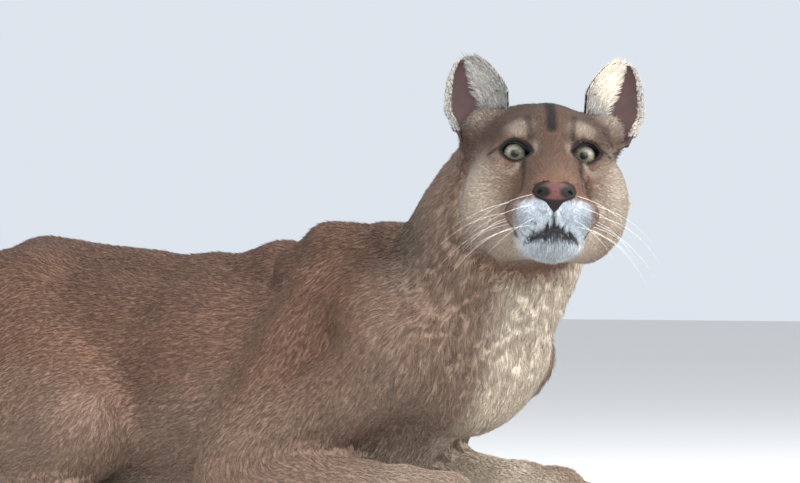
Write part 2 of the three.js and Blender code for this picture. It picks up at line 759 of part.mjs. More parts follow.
// The origin is on the floor, at the middle of the animal's own box.
const middle = new THREE.Box3().setFromObject(group).getCenter(new THREE.Vector3());
group.position.set(-middle.x, -middle.y, 0);

export default group;
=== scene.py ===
# %% [markdown]
# # A life-size cougar, lying with its head raised
# The animal is a still model: one skin with a short tawny coat, glassy eyes, a leathery nose, whiskers
# and furred ears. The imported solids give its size, pose and outline. Everything here is fitted to them.
# The shape is worked out in millimetres in the body's own frame: x forward from the withers, y to the
# animal's left, z up from the floor. Only finished pieces are put into metres, in the frame of the solids.

import math

import bmesh
import bpy
import numpy as np
from mathutils import Matrix, Vector


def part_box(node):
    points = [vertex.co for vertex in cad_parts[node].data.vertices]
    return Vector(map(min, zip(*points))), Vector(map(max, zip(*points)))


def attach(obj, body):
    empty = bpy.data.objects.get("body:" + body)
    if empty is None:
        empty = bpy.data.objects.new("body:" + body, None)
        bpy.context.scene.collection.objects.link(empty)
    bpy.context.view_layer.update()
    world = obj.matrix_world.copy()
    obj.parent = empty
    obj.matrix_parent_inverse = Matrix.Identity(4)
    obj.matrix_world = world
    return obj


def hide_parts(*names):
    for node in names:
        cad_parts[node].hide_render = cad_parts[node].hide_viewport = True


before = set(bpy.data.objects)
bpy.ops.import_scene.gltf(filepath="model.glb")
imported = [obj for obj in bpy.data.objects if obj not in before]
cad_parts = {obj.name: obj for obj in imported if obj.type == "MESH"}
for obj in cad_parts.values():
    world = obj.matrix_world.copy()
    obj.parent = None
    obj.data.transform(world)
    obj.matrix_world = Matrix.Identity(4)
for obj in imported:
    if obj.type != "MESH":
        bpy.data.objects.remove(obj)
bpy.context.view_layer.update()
MM = 0.001

# %% [markdown]
# ## The head's frame
# The head has a frame of its own, midway between the eyeballs, x out of the face, y to the animal's
# left and z up. It is turned to the right and the muzzle is a little raised. The eye solids tell where
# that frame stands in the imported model, which also gives the place of the body's frame.

# %% The head's frame
HEAD_AT = np.array([288.0, -85.0, 404.0])
HEAD_YAW = math.radians(-48.5)
HEAD_PITCH = math.radians(13)
HEAD_ROLL = math.radians(-2)
EYE_Y = 37.5
EYE_Z = -4.0
EYE_RADIUS = 16.5
HEAD_MIDDLE = np.array([-10.0, 0, -25])
NOSE_FRONT = np.array([84.0, 0, -46])

head_turn = np.array(
    Matrix.Rotation(HEAD_YAW, 3, "Z")
    @ Matrix.Rotation(-HEAD_PITCH, 3, "Y")
    @ Matrix.Rotation(HEAD_ROLL, 3, "X")
)


def from_head(points):
    return np.atleast_2d(points) @ head_turn.T + HEAD_AT


def to_head(points):
    return (np.atleast_2d(points) - HEAD_AT) @ head_turn


def skull_reach(h):
    # How far places in the head's frame are from the middle of the skull.
    return np.linalg.norm(h - HEAD_MIDDLE, axis=1)


def middle_of(node):
    low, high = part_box(node)
    return np.array((low + high) / 2) / MM


eye_in_body = from_head([0, EYE_Y, EYE_Z])[0]
PLACE = middle_of("eye_left") - eye_in_body
PLACE[2] = 0.0


def to_scene(points):
    return (np.atleast_2d(points) + PLACE) * MM


print("body frame stands at", PLACE.round(1))

# %% [markdown]
# ## The form of the body
# A body is made of rounded forms that melt into one another. Limbs are tapered capsules and lumps are
# ellipsoids. Each gives the distance from a point to its surface, and a smooth minimum joins them, so
# no seam shows where a leg meets the trunk. Each form also says which way the hair lies on it.

# %% Distances to rounded forms
def limb(start, end, start_radius, end_radius, wide=1.0, blend=30.0, lie=(-1, 0, -0.2)):
    squeeze = np.array([1, 1 / wide, 1])
    a = np.array(start, float) * squeeze
    along = np.array(end, float) * squeeze - a
    length2 = along @ along

    def distance(p):
        q = p * squeeze - a
        t = np.clip(q @ along / length2, 0, 1)
        away = q - t[:, None] * along
        return np.sqrt((away**2).sum(1)) - (start_radius + t * (end_radius - start_radius))

    return distance, blend, np.array(lie, float)


def lump(centre, radii, blend=12.0, lie=(-1, 0, -0.2)):
    c = np.array(centre, float)
    r = np.array(radii, float)

    def distance(p):
        a = (p - c) / r
        near = np.sqrt((a**2).sum(1))
        slope = np.sqrt(((a / r) ** 2).sum(1)) + 1e-9
        return near * (near - 1) / slope

    return distance, blend, np.array(lie, float)


def melt(a, b, k):
    h = np.maximum(0, k - np.abs(a - b)) / k
    return np.minimum(a, b) - h * h * k / 4


def melted(forms, p):
    total = np.full(len(p), 1e3)
    for distance, blend, _ in forms:
        total = melt(total, distance(p), blend)
    return total


def left(point):
    return point


def right(point):
    return (point[0], -point[1], point[2])


SIDES = {"left": left, "right": right}

# %% [markdown]
# The trunk is deep and narrow, with a ridge of spine between high shoulder blades and lower hips. The
# elbow lies far behind the shoulder, as it does in a cat that rests on its forearms.

# %% The body's forms
WITHERS_Z = 330
DIP_Z = 287
HIP_Z = 309
TRUNK_WIDE = 112 / 136
SHOULDER_Y = 88
ELBOW_Y = 115
KNEE_Y = 130
HOCK_Y = 146
BACK = (-1, 0, -0.12)
DOWN_BACK = (-0.55, 0, -0.85)
FORWARD = (1, 0, -0.15)

body_forms = [
    limb((92, 0, 178), (-60, 0, 168), 88, 108, 0.96, 30, (-0.25, 0, -1)),
    limb((-60, 0, 140), (-230, 0, 136), 132, 140, TRUNK_WIDE, 40, (-1, 0, -0.3)),
    limb((-230, 0, 136), (-410, 0, 142), 140, 130, TRUNK_WIDE, 40, (-1, 0, -0.3)),
    limb((-360, 0, 196), (-500, 0, HIP_Z - 96), 96, 92, 1, 40, BACK),
    limb((-500, 0, 205), (-575, 0, 176), 92, 70, 1, 40, BACK),
    limb((-30, 0, WITHERS_Z - 40), (-150, 0, DIP_Z - 9), 32, 27, 1, 34, BACK),
    limb((-150, 0, DIP_Z - 9), (-250, 0, DIP_Z - 24), 27, 24, 1, 34, BACK),
    limb((-250, 0, DIP_Z - 24), (-500, 0, HIP_Z - 26), 24, 26, 1, 34, BACK),
]
for side in SIDES.values():
    hip = limb(side((-470, 62, HIP_Z - 40)), side((-510, 66, HIP_Z - 48)), 34, 34, 1, 34, BACK)
    body_forms.append(hip)

# %% The shoulders and forelegs
shoulder = (92, SHOULDER_Y, 182)
elbow = (-122, ELBOW_Y, 42)
wrist = (104, 104, 31)


def toes(side, middle, scale):
    x, y, z = middle
    made = []
    for place in (-1.5, -0.5, 0.5, 1.5):
        centre = side((x + 12 - 9 * place * place * scale, y + place * 22 * scale, z))
        made.append(lump(centre, (25 * scale, 13.5 * scale, 23 * scale), 7, FORWARD))
    return made


for side in SIDES.values():
    body_forms += [
        limb(side((-46, 47, WITHERS_Z - 24)), side((22, 42, WITHERS_Z - 20)), 22, 20, 1, 26, BACK),
        limb(side((-98, 44, WITHERS_Z - 49)), side((-46, 47, WITHERS_Z - 25)), 24, 22, 1, 26, BACK),
        limb(side((-14, 54, WITHERS_Z - 48)), side((82, 84, 196)), 40, 52, 1, 30, DOWN_BACK),
        limb(side((40, 76, 232)), side(shoulder), 46, 54, 1, 26, DOWN_BACK),
        limb(side(shoulder), side((-122, ELBOW_Y, 52)), 54, 46, 1, 26, DOWN_BACK),
        limb(side((-32, 76, 246)), side((-112, 106, 92)), 46, 52, 1, 26, DOWN_BACK),
        limb(side(elbow), side((-20, 112, 42)), 46, 45, 1, 20, FORWARD),
        limb(side((-20, 112, 42)), side(wrist), 45, 33, 1, 20, FORWARD),
        limb(side(wrist), side((160, 102, 27)), 33, 36, 1, 18, FORWARD),
        *toes(side, (186, 102, 21), 1),
    ]

# %% The hind legs
knee = (-335, KNEE_Y, 100)
hock = (-556, HOCK_Y, 44)
for side in SIDES.values():
    body_forms += [
        limb(side((-498, 62, 204)), side(knee), 76, 60, 1, 34, DOWN_BACK),
        limb(side((-528, 76, 168)), side((-430, 122, 108)), 72, 68, 1, 34, DOWN_BACK),
        limb(side((-356, KNEE_Y + 4, 82)), side(hock), 56, 31, 1, 26, (-1, 0, -0.2)),
        limb(side(hock), side((-440, HOCK_Y - 2, 25)), 30, 26, 1, 22, FORWARD),
        limb(side((-440, HOCK_Y - 2, 25)), side((-350, HOCK_Y + 8, 23)), 27, 33, 1, 18, FORWARD),
        *toes(side, (-332, HOCK_Y + 10, 19), 0.92),
    ]

# %% [markdown]
# The tail leaves the rump and lies on the floor in one long bend. Its line is a smooth curve through a
# few points, and short limbs follow it, so that the hair can lie along it.

# %% The tail and the neck
TAIL_POINTS = [
    (-575, 0, 206),
    (-650, 4, 146),
    (-718, 14, 68),
    (-800, 36, 27),
    (-900, 84, 24),
    (-990, 160, 23),
    (-1046, 262, 23),
    (-1046, 378, 22),
]
TAIL_STEPS = 16


def catmull(points, t):
    # The same centripetal curve that the solids follow, at the fraction t of its points.
    place = t * (len(points) - 1)
    n = min(int(place), len(points) - 2)
    p = [np.array(v, float) for v in points]
    before = p[n - 1] if n else 2 * p[0] - p[1]
    after = p[n + 2] if n + 2 < len(p) else 2 * p[-1] - p[-2]
    a, b = p[n], p[n + 1]
    k0, k1, k2 = (np.linalg.norm(v) ** 0.5 for v in (a - before, b - a, after - b))
    slope_a = ((a - before) / k0 - (b - before) / (k0 + k1) + (b - a) / k1) * k1
    slope_b = ((b - a) / k1 - (after - a) / (k1 + k2) + (after - b) / k2) * k1
    u = place - n
    rise = 3 * (b - a) - 2 * slope_a - slope_b
    turn = 2 * (a - b) + slope_a + slope_b
    return a + slope_a * u + rise * u**2 + turn * u**3


def tail_radius(t):
    return 29 - 6 * t + 23 * max(0, 1 - t / 0.16) ** 2


tail_line = [catmull(TAIL_POINTS, n / TAIL_STEPS) for n in range(TAIL_STEPS + 1)]
for n in range(TAIL_STEPS):
    a, b = tail_line[n], tail_line[n + 1]
    along = (b - a) / np.linalg.norm(b - a)
    radii = tail_radius(n / TAIL_STEPS), tail_radius((n + 1) / TAIL_STEPS)
    body_forms.append(limb(a, b, *radii, 1, 12, along))

NECK_LIE = (-0.62, 0.25, -0.75)
body_forms += [
    limb((112, 0, 212), (158, -2, 305), 98, 86, 0.95, 40, (-0.35, 0.1, -0.93)),
    limb((158, -2, 305), (214, -20, 374), 86, 74, 0.98, 40, NECK_LIE),
    limb((62, 0, 284), (172, -10, 400), 42, 46, 1, 40, (-0.8, 0.1, -0.6)),
]

# %% [markdown]
# ## The form of the head
# A cougar's skull is short and round. The forehead rises from a broad nose bridge, the cheeks carry
# big jaw muscles, and the whisker pads are two soft cushions over a square chin.

# %% The head's forms
head_forms = [
    lump((-62, 0, 16), (70, 58, 53), 20),
    lump((-16, 0, 12), (42, 45, 40), 24),
    lump((-62, 0, -40), (52, 60, 52), 24),
]
for side in SIDES.values():
    head_forms += [
        lump(side((-62, 44, 20)), (46, 29, 38), 20),
        lump(side((-30, 54, -32)), (44, 32, 38), 24),
        lump(side((-56, 56, -55)), (46, 34, 39), 24),
        lump(side((-4, 34, 16)), (22, 22, 16), 20),
        lump(side((-2, 38, -20)), (24, 22, 18), 24),
    ]
head_forms += [
    limb((0, 0, -44), (50, 0, -72), 44, 34, 1, 22),
    limb((0, 0, 4), (62, 0, -52), 28, 21, 1.15, 20),
    lump((66, 0, -62), (17, 25, 15), 8),
]
for side in SIDES.values():
    head_forms += [
        lump(side((52, 23, -79)), (29, 28, 21), 10),
        limb(side((42, 11, -108)), side((-40, 41, -85)), 17, 27, 1, 26),
        lump(side((-2, EYE_Y, EYE_Z)), (22, 23, 19), 14),
        lump(side((-72, 70, 40)), (20, 20, 24), 26),
    ]
head_forms += [
    lump((49, 0, -110), (22, 25, 20), 14),
    limb((10, 0, -90), (-60, 0, -74), 23, 36, 1, 22),
]
LIP_POINTS = [(34, 36, -109), (50, 29, -108), (62, 19, -102.5), (71, 8, -96.5), (74, 0, -93)]
LIP_GROOVE = 2.8
PHILTRUM_GROOVE = 1.4
GROOVE_BLEND = 2.0
HEAD_BLEND = 34
NEAR_HEAD = 220
NEAR_HEAD_MIDDLE = (-30, 0, -20)


def path_distance(p, path):
    best = np.full(len(p), 1e3)
    for a, b in zip(path[:-1], path[1:]):
        along = b - a
        t = np.clip((p - a) @ along / (along @ along), 0, 1)
        best = np.minimum(best, np.linalg.norm(p - a - t[:, None] * along, axis=1))
    return best


def slope_of(field, p, step=0.5):
    here = field(p)
    slopes = [(field(p + step * np.eye(3)[axis]) - here) / step for axis in range(3)]
    return here, np.stack(slopes, 1)


def drawn_on(field, p, depth=0.0, rounds=4):
    # Moves points along the field's slope on to its surface, or to a depth below it.
    for _ in range(rounds):
        here, slope = slope_of(field, p)
        size2 = np.maximum((slope**2).sum(1), 0.05)
        p = p - ((here + depth) / size2)[:, None] * slope
    return p


def bare_head(h):
    return melted(head_forms, h)


lip_half = drawn_on(bare_head, np.array(LIP_POINTS, float))
lip_line = np.concatenate([lip_half, (lip_half * [1, -1, 1])[-2::-1]])
philtrum_line = drawn_on(bare_head, np.array([(78.0, 0, -80), (76, 0, -87), (74, 0, -93)]))


def head_field(h):
    d = bare_head(h)
    for line, radius in ((lip_line, LIP_GROOVE), (philtrum_line, PHILTRUM_GROOVE)):
        groove = radius - path_distance(h, line)
        d = -melt(-d, -groove, GROOVE_BLEND)
    return d


def animal_field(p):
    body = melted(body_forms, p)
    total = body.copy()
    h = to_head(p)
    near = np.linalg.norm(h - NEAR_HEAD_MIDDLE, axis=1) < NEAR_HEAD
    total[near] = melt(body[near], head_field(h[near]), HEAD_BLEND)
    return total


print(len(body_forms), "forms in the body and", len(head_forms), "in the head")

# %% [markdown]
# ## The coat's depth and the lie of the hair
# The skin lies inside the solids by the depth of the coat, which is thickest on the trunk, neck and
# tail, and thinnest on the face and feet. The hair flows back from the nose over the face, down the
# neck and legs, and back along the trunk.

# %% Depth and lie
BODY_COAT = 4.6
FACE_COAT = 1.7
FOOT_COAT = 2.6
FOLD_DEPTH = 1.7


def smooth(low, high, value):
    t = np.clip((value - low) / (high - low), 0, 1)
    return t * t * (3 - 2 * t)


def faceness(p):
    h = to_head(p)
    reach = np.linalg.norm((h - [0, 0, -30]) / [1.15, 1, 1.05], axis=1)
    return 1 - smooth(70, 130, reach)


def ripple(p, size, seed):
    # A soft random value from -1 to 1 that changes over about the given size.
    rng = np.random.default_rng(seed)
    total = np.zeros(len(p))
    for _ in range(7):
        direction = rng.normal(size=3)
        direction *= rng.uniform(0.6, 1.5) * 2 * math.pi / size / np.linalg.norm(direction)
        total += np.sin(p @ direction + rng.uniform(0, 2 * math.pi))
    return total / 3


def frontness(p):
    # How far a place belongs to the neck and chest, where the coat is longer and breaks into folds.
    return smooth(70, 150, p[:, 0]) * smooth(110, 190, p[:, 2]) * (1 - faceness(p))


def folds(p):
    # Short wavy ridges across the lie of the hair.
    bent = p + 16 * np.stack([ripple(p, 70, seed) for seed in (41, 42, 43)], 1)
    return ripple(bent * [1.0, 1.0, 1.5], 30, 44)


def coat_depth(p):
    face = faceness(p)
    foot = 1 - smooth(18, 70, p[:, 2])
    body = BODY_COAT + (FOOT_COAT - BODY_COAT) * foot
    folded = FOLD_DEPTH * folds(p) * (0.18 + 0.82 * frontness(p)) * (1 - foot)
    return (body + np.clip(folded, -2.2, 3)) * (1 - face) + FACE_COAT * face


def lie_of_hair(p, normals):
    weights = np.zeros(len(p))
    lie = np.zeros((len(p), 3))
    for distance, _, direction in body_forms:
        w = np.exp(-np.clip(distance(p), -20, 200) / 9)
        weights += w
        lie += w[:, None] * direction
    lie /= weights[:, None]
    # Over the head the hair runs away from the nose, and down over the cheeks and throat.
    h = to_head(p)
    away = h - NOSE_FRONT
    away /= np.linalg.norm(away, axis=1)[:, None]
    away[:, 2] -= 0.35 * smooth(-10, -70, h[:, 0]) * (1 - smooth(-10, 40, h[:, 2]))
    chin = smooth(-92, -112, h[:, 2]) * smooth(20, 50, h[:, 0])
    away = away * (1 - chin[:, None]) + np.array([-0.4, 0, -1]) * chin[:, None]
    # Round each eye it turns away from the opening.
    for y in (EYE_Y, -EYE_Y):
        from_eye = h - [6, y, EYE_Z]
        reach = np.linalg.norm(from_eye, axis=1)
        share = (0.92 * (1 - smooth(20, 34, reach)))[:, None]
        away = away * (1 - share) + from_eye / reach[:, None] * share
    head_share = (1 - smooth(95, 150, skull_reach(h)))[:, None]
    lie = lie * (1 - head_share) + (away @ head_turn.T) * head_share
    lie -= (lie * normals).sum(1)[:, None] * normals
    return lie / np.maximum(np.linalg.norm(lie, axis=1), 1e-6)[:, None]


# %% [markdown]
# ## Markings and painted shade
# A cougar is plain tawny, redder along the back and paler below, with a pale throat, chest and belly.
# The face carries its only drawing: a white muzzle with a dark bar on each side, dark eye rims with
# pale hair above and below, a streak on the crown, and grey in the forehead. Each marking is a mask
# from 0 to 1 that both the skin and the coat carry, so that they agree wherever the hair parts.
# Two masks also carry painted shade: grey on the right side of the neck, and dark inside the nostrils.

# %% Markings and painted shade as masks
def blob(h, centre, radii, soft=0.35):
    reach = np.linalg.norm((h - centre) / np.array(radii, float), axis=1)
    return 1 - smooth(1 - soft, 1 + soft, reach)


def both(h):
    return np.stack([h[:, 0], np.abs(h[:, 1]), h[:, 2]], 1)


def bezier(p0, p1, p2, p3, steps):
    t = np.linspace(0, 1, steps, endpoint=False)[:, None]
    p0, p1, p2, p3 = (np.array(p, float) for p in (p0, p1, p2, p3))
    return (1 - t) ** 3 * p0 + 3 * (1 - t) ** 2 * t * p1 + 3 * (1 - t) * t**2 * p2 + t**3 * p3


def almond(grow=0.0, steps=18):
    # The opening between the lids: away from the nose and up, from the middle of the eyeball.
    inner, outer = (-15.5, -3.5), (15.5, 2.5)
    upper = bezier(inner, (-10, 13), (8, 17.5), outer, steps)
    lower = bezier(outer, (9, -13), (-6, -15.5), inner, steps)
    outline = np.concatenate([upper, lower])
    centre = np.array([0, -0.5])
    away = outline - centre
    return centre + away * (1 + grow / np.linalg.norm(away, axis=1))[:, None]


def lid_distance(m):
    # How far a place on either side of the head lies outside the opening, seen from the front.
    outline = almond()
    flat = np.stack([np.zeros(len(m)), m[:, 1] - EYE_Y, m[:, 2] - EYE_Z], 1)
    line = np.array([(0, *point) for point in (*outline, outline[0])])
    reach = path_distance(flat, line)
    return np.where(m[:, 0] > -8, reach, 99)


def on_face(path):
    # A line of points laid on the face, with more points between them so that it follows the curve.
    path = np.array(path, float)
    steps = np.linspace(0, len(path) - 1, 4 * len(path))
    dense = np.stack([np.interp(steps, np.arange(len(path)), path[:, axis]) for axis in range(3)], 1)
    return drawn_on(bare_head, dense, FACE_COAT)


def line_mark(m, path, inner, outer):
    return 1 - smooth(inner, outer, path_distance(m, path))


BAR = on_face([(56, 44, -62), (52, 49, -75), (46, 50, -88), (38, 47, -101)])
TEAR = on_face([(24, 21, -12), (34, 21, -26), (46, 26, -42), (52, 36, -56)])
UNDER_LID = on_face([(20, 25, -23), (18, 38, -27), (8, 52, -21)])
INNER_CORNER = on_face([(18, 23, -7), (25, 19, -14)])
OUTER_CORNER = on_face([(10, 53, -1), (-2, 62, -7)])
MEDIAN_STREAK = on_face([(24, 0, 18), (14, 0, 38), (-8, 0, 58), (-34, 0, 72)])
BROW_STREAK = on_face([(22, 19, 8), (18, 21, 20), (8, 24, 34)])
LIP_MARK = on_face([*LIP_POINTS, *[(x, -y, z) for x, y, z in LIP_POINTS[-2::-1]]])
UNDER_NOSE = on_face([(84, 0, -80), (80, 0, -94)])


LIP_ARCH = ([0, 6, 14, 22, 29], [-91.5, -94.5, -99.5, -105.0, -109.5])
LIP_FOOT = -112.5


def dark_lips(m, fleck):
    # The dark lips: a line along the arch, and the lower lip, which breaks up into specks on the chin.
    x, y, z = m.T
    below = np.interp(y, *LIP_ARCH) - z
    share = below / np.maximum(np.interp(y, *LIP_ARCH) - LIP_FOOT, 2.5)
    lower = np.clip(1.75 - share + 0.3 * fleck, 0, 0.97) * smooth(-1.2, 0.6, below)
    lower *= 1 - smooth(0.85, 1.3, share + 0.15 * fleck)
    edge = 0.97 * (1 - smooth(1.0, 2.4, np.abs(below)))
    return np.maximum(lower, edge) * (1 - smooth(27, 32, y)) * smooth(34, 44, x)


def markings_and_painted_shade(p):
    h = to_head(p)
    m = both(h)
    in_head = 1 - smooth(112, 150, skull_reach(h))
    x, y, z = m.T
    broken = ripple(h, 7, 51)
    lids = lid_distance(m)
    # White whisker pads and chin.
    white = smooth(-62, -73, z + 0.12 * y + 2 * broken) * smooth(30, 46, x)
    white *= 1 - smooth(33, 44, y - 2 * broken)
    chin = 0.92 * blob(m, (46, 0, -114), (44, 40, 30), 0.35) * (1 - smooth(38, 50, y + 2 * broken))
    white = np.maximum(white, chin) * in_head
    # Pale hair over the eyes, in their inner corners, under the lower lids and along the jaw.
    brow = 0.34 * blob(m, (12, 32, 22), (20, 15, 10), 0.6)
    inner = 0.50 * blob(m, (26, 17, -12), (14, 6, 14), 0.6)
    under = 0.36 * line_mark(m, UNDER_LID, 1.5, 7)
    cheek = 0.78 * blob(m, (-24, 78, -50), (56, 30, 46), 0.7)
    jaw = 0.54 * blob(m, (10, 42, -104), (64, 38, 24), 0.6)
    ear_root = 0.36 * blob(m, (-50, 76, 62), (26, 26, 24), 0.6)
    pale = np.maximum.reduce([brow, inner, under, cheek, jaw, ear_root]) * in_head
    # The dark drawing of the face, and painted shade inside the nostrils.
    bar = 0.86 * line_mark(m, BAR, 3.5, 9) * (0.85 + 0.15 * broken)
    tear = 0.66 * line_mark(m, TEAR, 1.6, 6)
    rim = 1 - smooth(2.2, 4.8, lids)
    corner = line_mark(m, INNER_CORNER, 1, 3.5)
    tail_of_eye = 0.7 * line_mark(m, OUTER_CORNER, 1, 4)
    streak = 0.94 * line_mark(m, MEDIAN_STREAK, 2.4, 8.5)
    brow_streak = 0.62 * line_mark(m, BROW_STREAK, 1.4, 5.5)
    crown = 0.20 * blob(m, (-34, 0, 66), (44, 44, 16), 0.6)
    lips = dark_lips(m, ripple(h, 3.2, 52))
    under_nose = 0.95 * line_mark(m, UNDER_NOSE, 1.6, 4.0)
    # Painted shade: dark skin behind each open nostril, where the opening is in shade.
    nostril_painted_shade = blob(m, (76, 13, -63), (16, 10, 9), 0.2)
    marks = [bar, tear, rim, corner, tail_of_eye, streak, brow_streak, crown, lips, under_nose, nostril_painted_shade]
    dark = np.maximum.reduce([*marks, whisker_spots(m)]) * in_head
    # The trunk, neck and legs.
    px, py, pz = p.T
    ripples = ripple(p, 90, 3)
    off_head = 1 - in_head
    off_tail = smooth(-640, -560, px)
    belly = 0.8 * (1 - smooth(24, 80, pz + 12 * ripples)) * (1 - smooth(60, 100, np.abs(py))) * off_tail
    ahead = smooth(110, 190, px + 0.42 * (300 - pz) - 12 * ripples + 0.35 * py)
    midline = py + 0.3 * (px - 150)
    throat = 0.95 * ahead * off_head * smooth(-74, -22, midline) * (1 - smooth(68, 112, midline))
    inner_leg = 0.55 * (1 - smooth(70, 105, np.abs(py))) * (1 - smooth(60, 130, pz)) * off_tail
    low_throat = 0.6 * smooth(-76, -112, z) * smooth(-50, 0, x) * in_head
    tan = 0.16 * smooth(20, 110, px) * off_head + 0.13 * (1 - smooth(90, 190, pz + 20 * ripples))
    pale = np.maximum.reduce([pale, belly, throat, inner_leg, low_throat, tan])
    rust = smooth(180, 300, pz + 7 * ripples) * (1 - smooth(-60, 60, px)) * off_head
    # Painted shade: a grey patch on the right side of the neck's base, in the hollow beside the turned
    # head.
    neck_painted_shade = blob(p, (62, -40, 300), (60, 80, 60), 0.6)
    # The grey mask holds the grey forehead marking and this painted shade on the neck.
    grey = np.maximum.reduce([in_head * smooth(-70, 0, z - 0.4 * y) * 0.85, 0.9 * neck_painted_shade])
    tail_tip = 0.9 * smooth(190, 330, py) * smooth(-900, -980, px)
    dark = np.maximum(dark, tail_tip)
    return {"pale": pale, "white": white, "dark": dark, "rust": rust, "grey": grey}


WHISKER_ROWS = [(-70, 5), (-76, 5), (-82, 5), (-88, 4)]


def whisker_roots():
    # Four rows of roots on each whisker pad, further apart towards the cheek.
    roots = []
    for row, (z, count) in enumerate(WHISKER_ROWS):
        for n in range(count):
            y = 15 + 7.2 * n + 2.5 * (row % 2)
            roots.append((84 - 0.022 * y * y - 0.2 * y, y, z - 0.12 * y))
    return drawn_on(bare_head, np.array(roots, float))


whisker_root = whisker_roots()


def whisker_spots(m):
    spots = np.zeros(len(m))
    near = np.linalg.norm(m - [62, 26, -80], axis=1) < 40
    for root in whisker_root:
        reach = np.linalg.norm(m[near] - root, axis=1)
        spots[near] = np.maximum(spots[near], 0.55 * (1 - smooth(0.6, 1.9, reach)))
    return spots


# %% [markdown]
# ## Helpers for meshes
# Copies of the solids are merged and made into one skin by a voxel remesh, which closes the thin cuts.
# The remeshed skin is then laid on the smooth form above. Near the face its quads are cut finer.

# %% Mesh helpers
def clear_selection():
    bpy.ops.object.select_all(action="DESELECT")


def make_active(piece):
    clear_selection()
    piece.select_set(True)
    bpy.context.view_layer.objects.active = piece


def apply_all(piece):
    make_active(piece)
    for modifier in list(piece.modifiers):
        bpy.ops.object.modifier_apply(modifier=modifier.name)


def merged_copy(name, nodes):
    mesh = bmesh.new()
    for node in nodes:
        mesh.from_mesh(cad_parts[node].data)
    bmesh.ops.remove_doubles(mesh, verts=mesh.verts, dist=1e-6)
    data = bpy.data.meshes.new(name)
    mesh.to_mesh(data)
    mesh.free()
    piece = bpy.data.objects.new(name, data)
    bpy.context.scene.collection.objects.link(piece)
    return piece


def mesh_piece(name, points, faces):
    data = bpy.data.meshes.new(name)
    data.from_pydata(points, [], faces)
    data.validate()
    piece = bpy.data.objects.new(name, data)
    bpy.context.scene.collection.objects.link(piece)
    return piece


def face_outward(piece):
    mesh = bmesh.new()
    mesh.from_mesh(piece.data)
    bmesh.ops.recalc_face_normals(mesh, faces=mesh.faces)
    mesh.to_mesh(piece.data)
    mesh.free()


def shade_smooth(piece):
    make_active(piece)
    bpy.ops.object.shade_smooth()


def places(piece):
    values = np.empty(len(piece.data.vertices) * 3)
    piece.data.vertices.foreach_get("co", values)
    return values.reshape(-1, 3) / MM - PLACE


def set_places(piece, points):
    piece.data.vertices.foreach_set("co", to_scene(points).ravel())
    piece.data.update()


def normals_of(piece):
    values = np.empty(len(piece.data.vertices) * 3)
    piece.data.vertices.foreach_get("normal", values)
    return values.reshape(-1, 3)


def set_attribute(piece, name, values, kind="FLOAT"):
    attribute = piece.data.attributes.get(name) or piece.data.attributes.new(name, kind, "POINT")
    key = "value" if kind == "FLOAT" else "vector"
    attribute.data.foreach_set(key, np.ascontiguousarray(values, dtype=np.float32).ravel())


def put(piece, *nodes, slot, material):
    piece.data.materials.clear()
    piece.data.materials.append(material)
    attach(piece, "root")
    if nodes:
        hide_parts(*nodes)


# %% [markdown]
# ## Materials
# Fur is coloured by the markings, with fine streaks along the hair and a slow change of tone over the
# body. One node group holds that colouring, because the skin, the coat and the ears all use it. Bare skin
# and bristle share a second group, with fine pores. A short helper makes and joins the nodes of a tree.

# %% A helper that wires nodes
class Wiring:
    def __init__(self, tree):
        self.nodes, self.links = tree.nodes, tree.links

    def feed(self, target, source):
        # Links a socket, or sets a plain value or colour.
        if isinstance(source, bpy.types.NodeSocket):
            self.links.new(source, target)
        else:
            target.default_value = source

    def attribute(self, name, output="Fac"):
        node = self.nodes.new("ShaderNodeAttribute")
        node.attribute_name = name
        return node.outputs[output]

    def own_place(self):
        return self.nodes.new("ShaderNodeTexCoord").outputs["Object"]

    def noise(self, vector, scale, detail):
        node = self.nodes.new("ShaderNodeTexNoise")
        node.inputs["Detail"].default_value = detail
        self.feed(node.inputs["Vector"], vector)
        self.feed(node.inputs["Scale"], scale)
        return node.outputs["Fac"]

    def ranged(self, value, low, high, to_low, to_high):
        node = self.nodes.new("ShaderNodeMapRange")
        self.feed(node.inputs["Value"], value)
        for key, number in zip(("From Min", "From Max", "To Min", "To Max"), (low, high, to_low, to_high)):
            node.inputs[key].default_value = number
        return node.outputs["Result"]

    def mixed(self, factor, a, b, kind="RGBA"):
        node = self.nodes.new("ShaderNodeMix")
        node.data_type = kind
        self.feed(node.inputs["Factor"], factor)
        self.feed(node.inputs["A"], a)
        self.feed(node.inputs["B"], b)
        return node.outputs["Result"]

    def toned(self, colour, value):
        node = self.nodes.new("ShaderNodeHueSaturation")
        self.feed(node.inputs["Color"], colour)
        self.feed(node.inputs["Value"], value)
        return node.outputs["Color"]

    def bumped(self, shader, height, strength, distance):
        node = self.nodes.new("ShaderNodeBump")
        node.inputs["Strength"].default_value = strength
        node.inputs["Distance"].default_value = distance
        self.feed(node.inputs["Height"], height)
        self.feed(shader.inputs["Normal"], node.outputs["Normal"])


def new_material(name):
    material = bpy.data.materials.new(name)
    material.use_nodes = True
    tree = Wiring(material.node_tree)
    return material, tree, tree.nodes["Principled BSDF"]


def new_group(name, inputs, outputs):
    group = bpy.data.node_groups.new(name, "ShaderNodeTree")
    for key, value in inputs.items():
        kind = "NodeSocketColor" if isinstance(value, tuple) else "NodeSocketFloat"
        group.interface.new_socket(key, in_out="INPUT", socket_type=kind).default_value = value
    for key, kind in outputs.items():
        group.interface.new_socket(key, in_out="OUTPUT", socket_type=kind)
    inward = group.nodes.new("NodeGroupInput").outputs
    outward = group.nodes.new("NodeGroupOutput").inputs
    return group, Wiring(group), inward, outward


def placed_group(tree, group, **values):
    node = tree.nodes.new("ShaderNodeGroup")
    node.node_tree = group
    for key, value in values.items():
        tree.feed(node.inputs[key.replace("_", " ")], value)
    return node.outputs


COLOUR_AND_HEIGHT = {"Color": "NodeSocketColor", "Height": "NodeSocketFloat"}

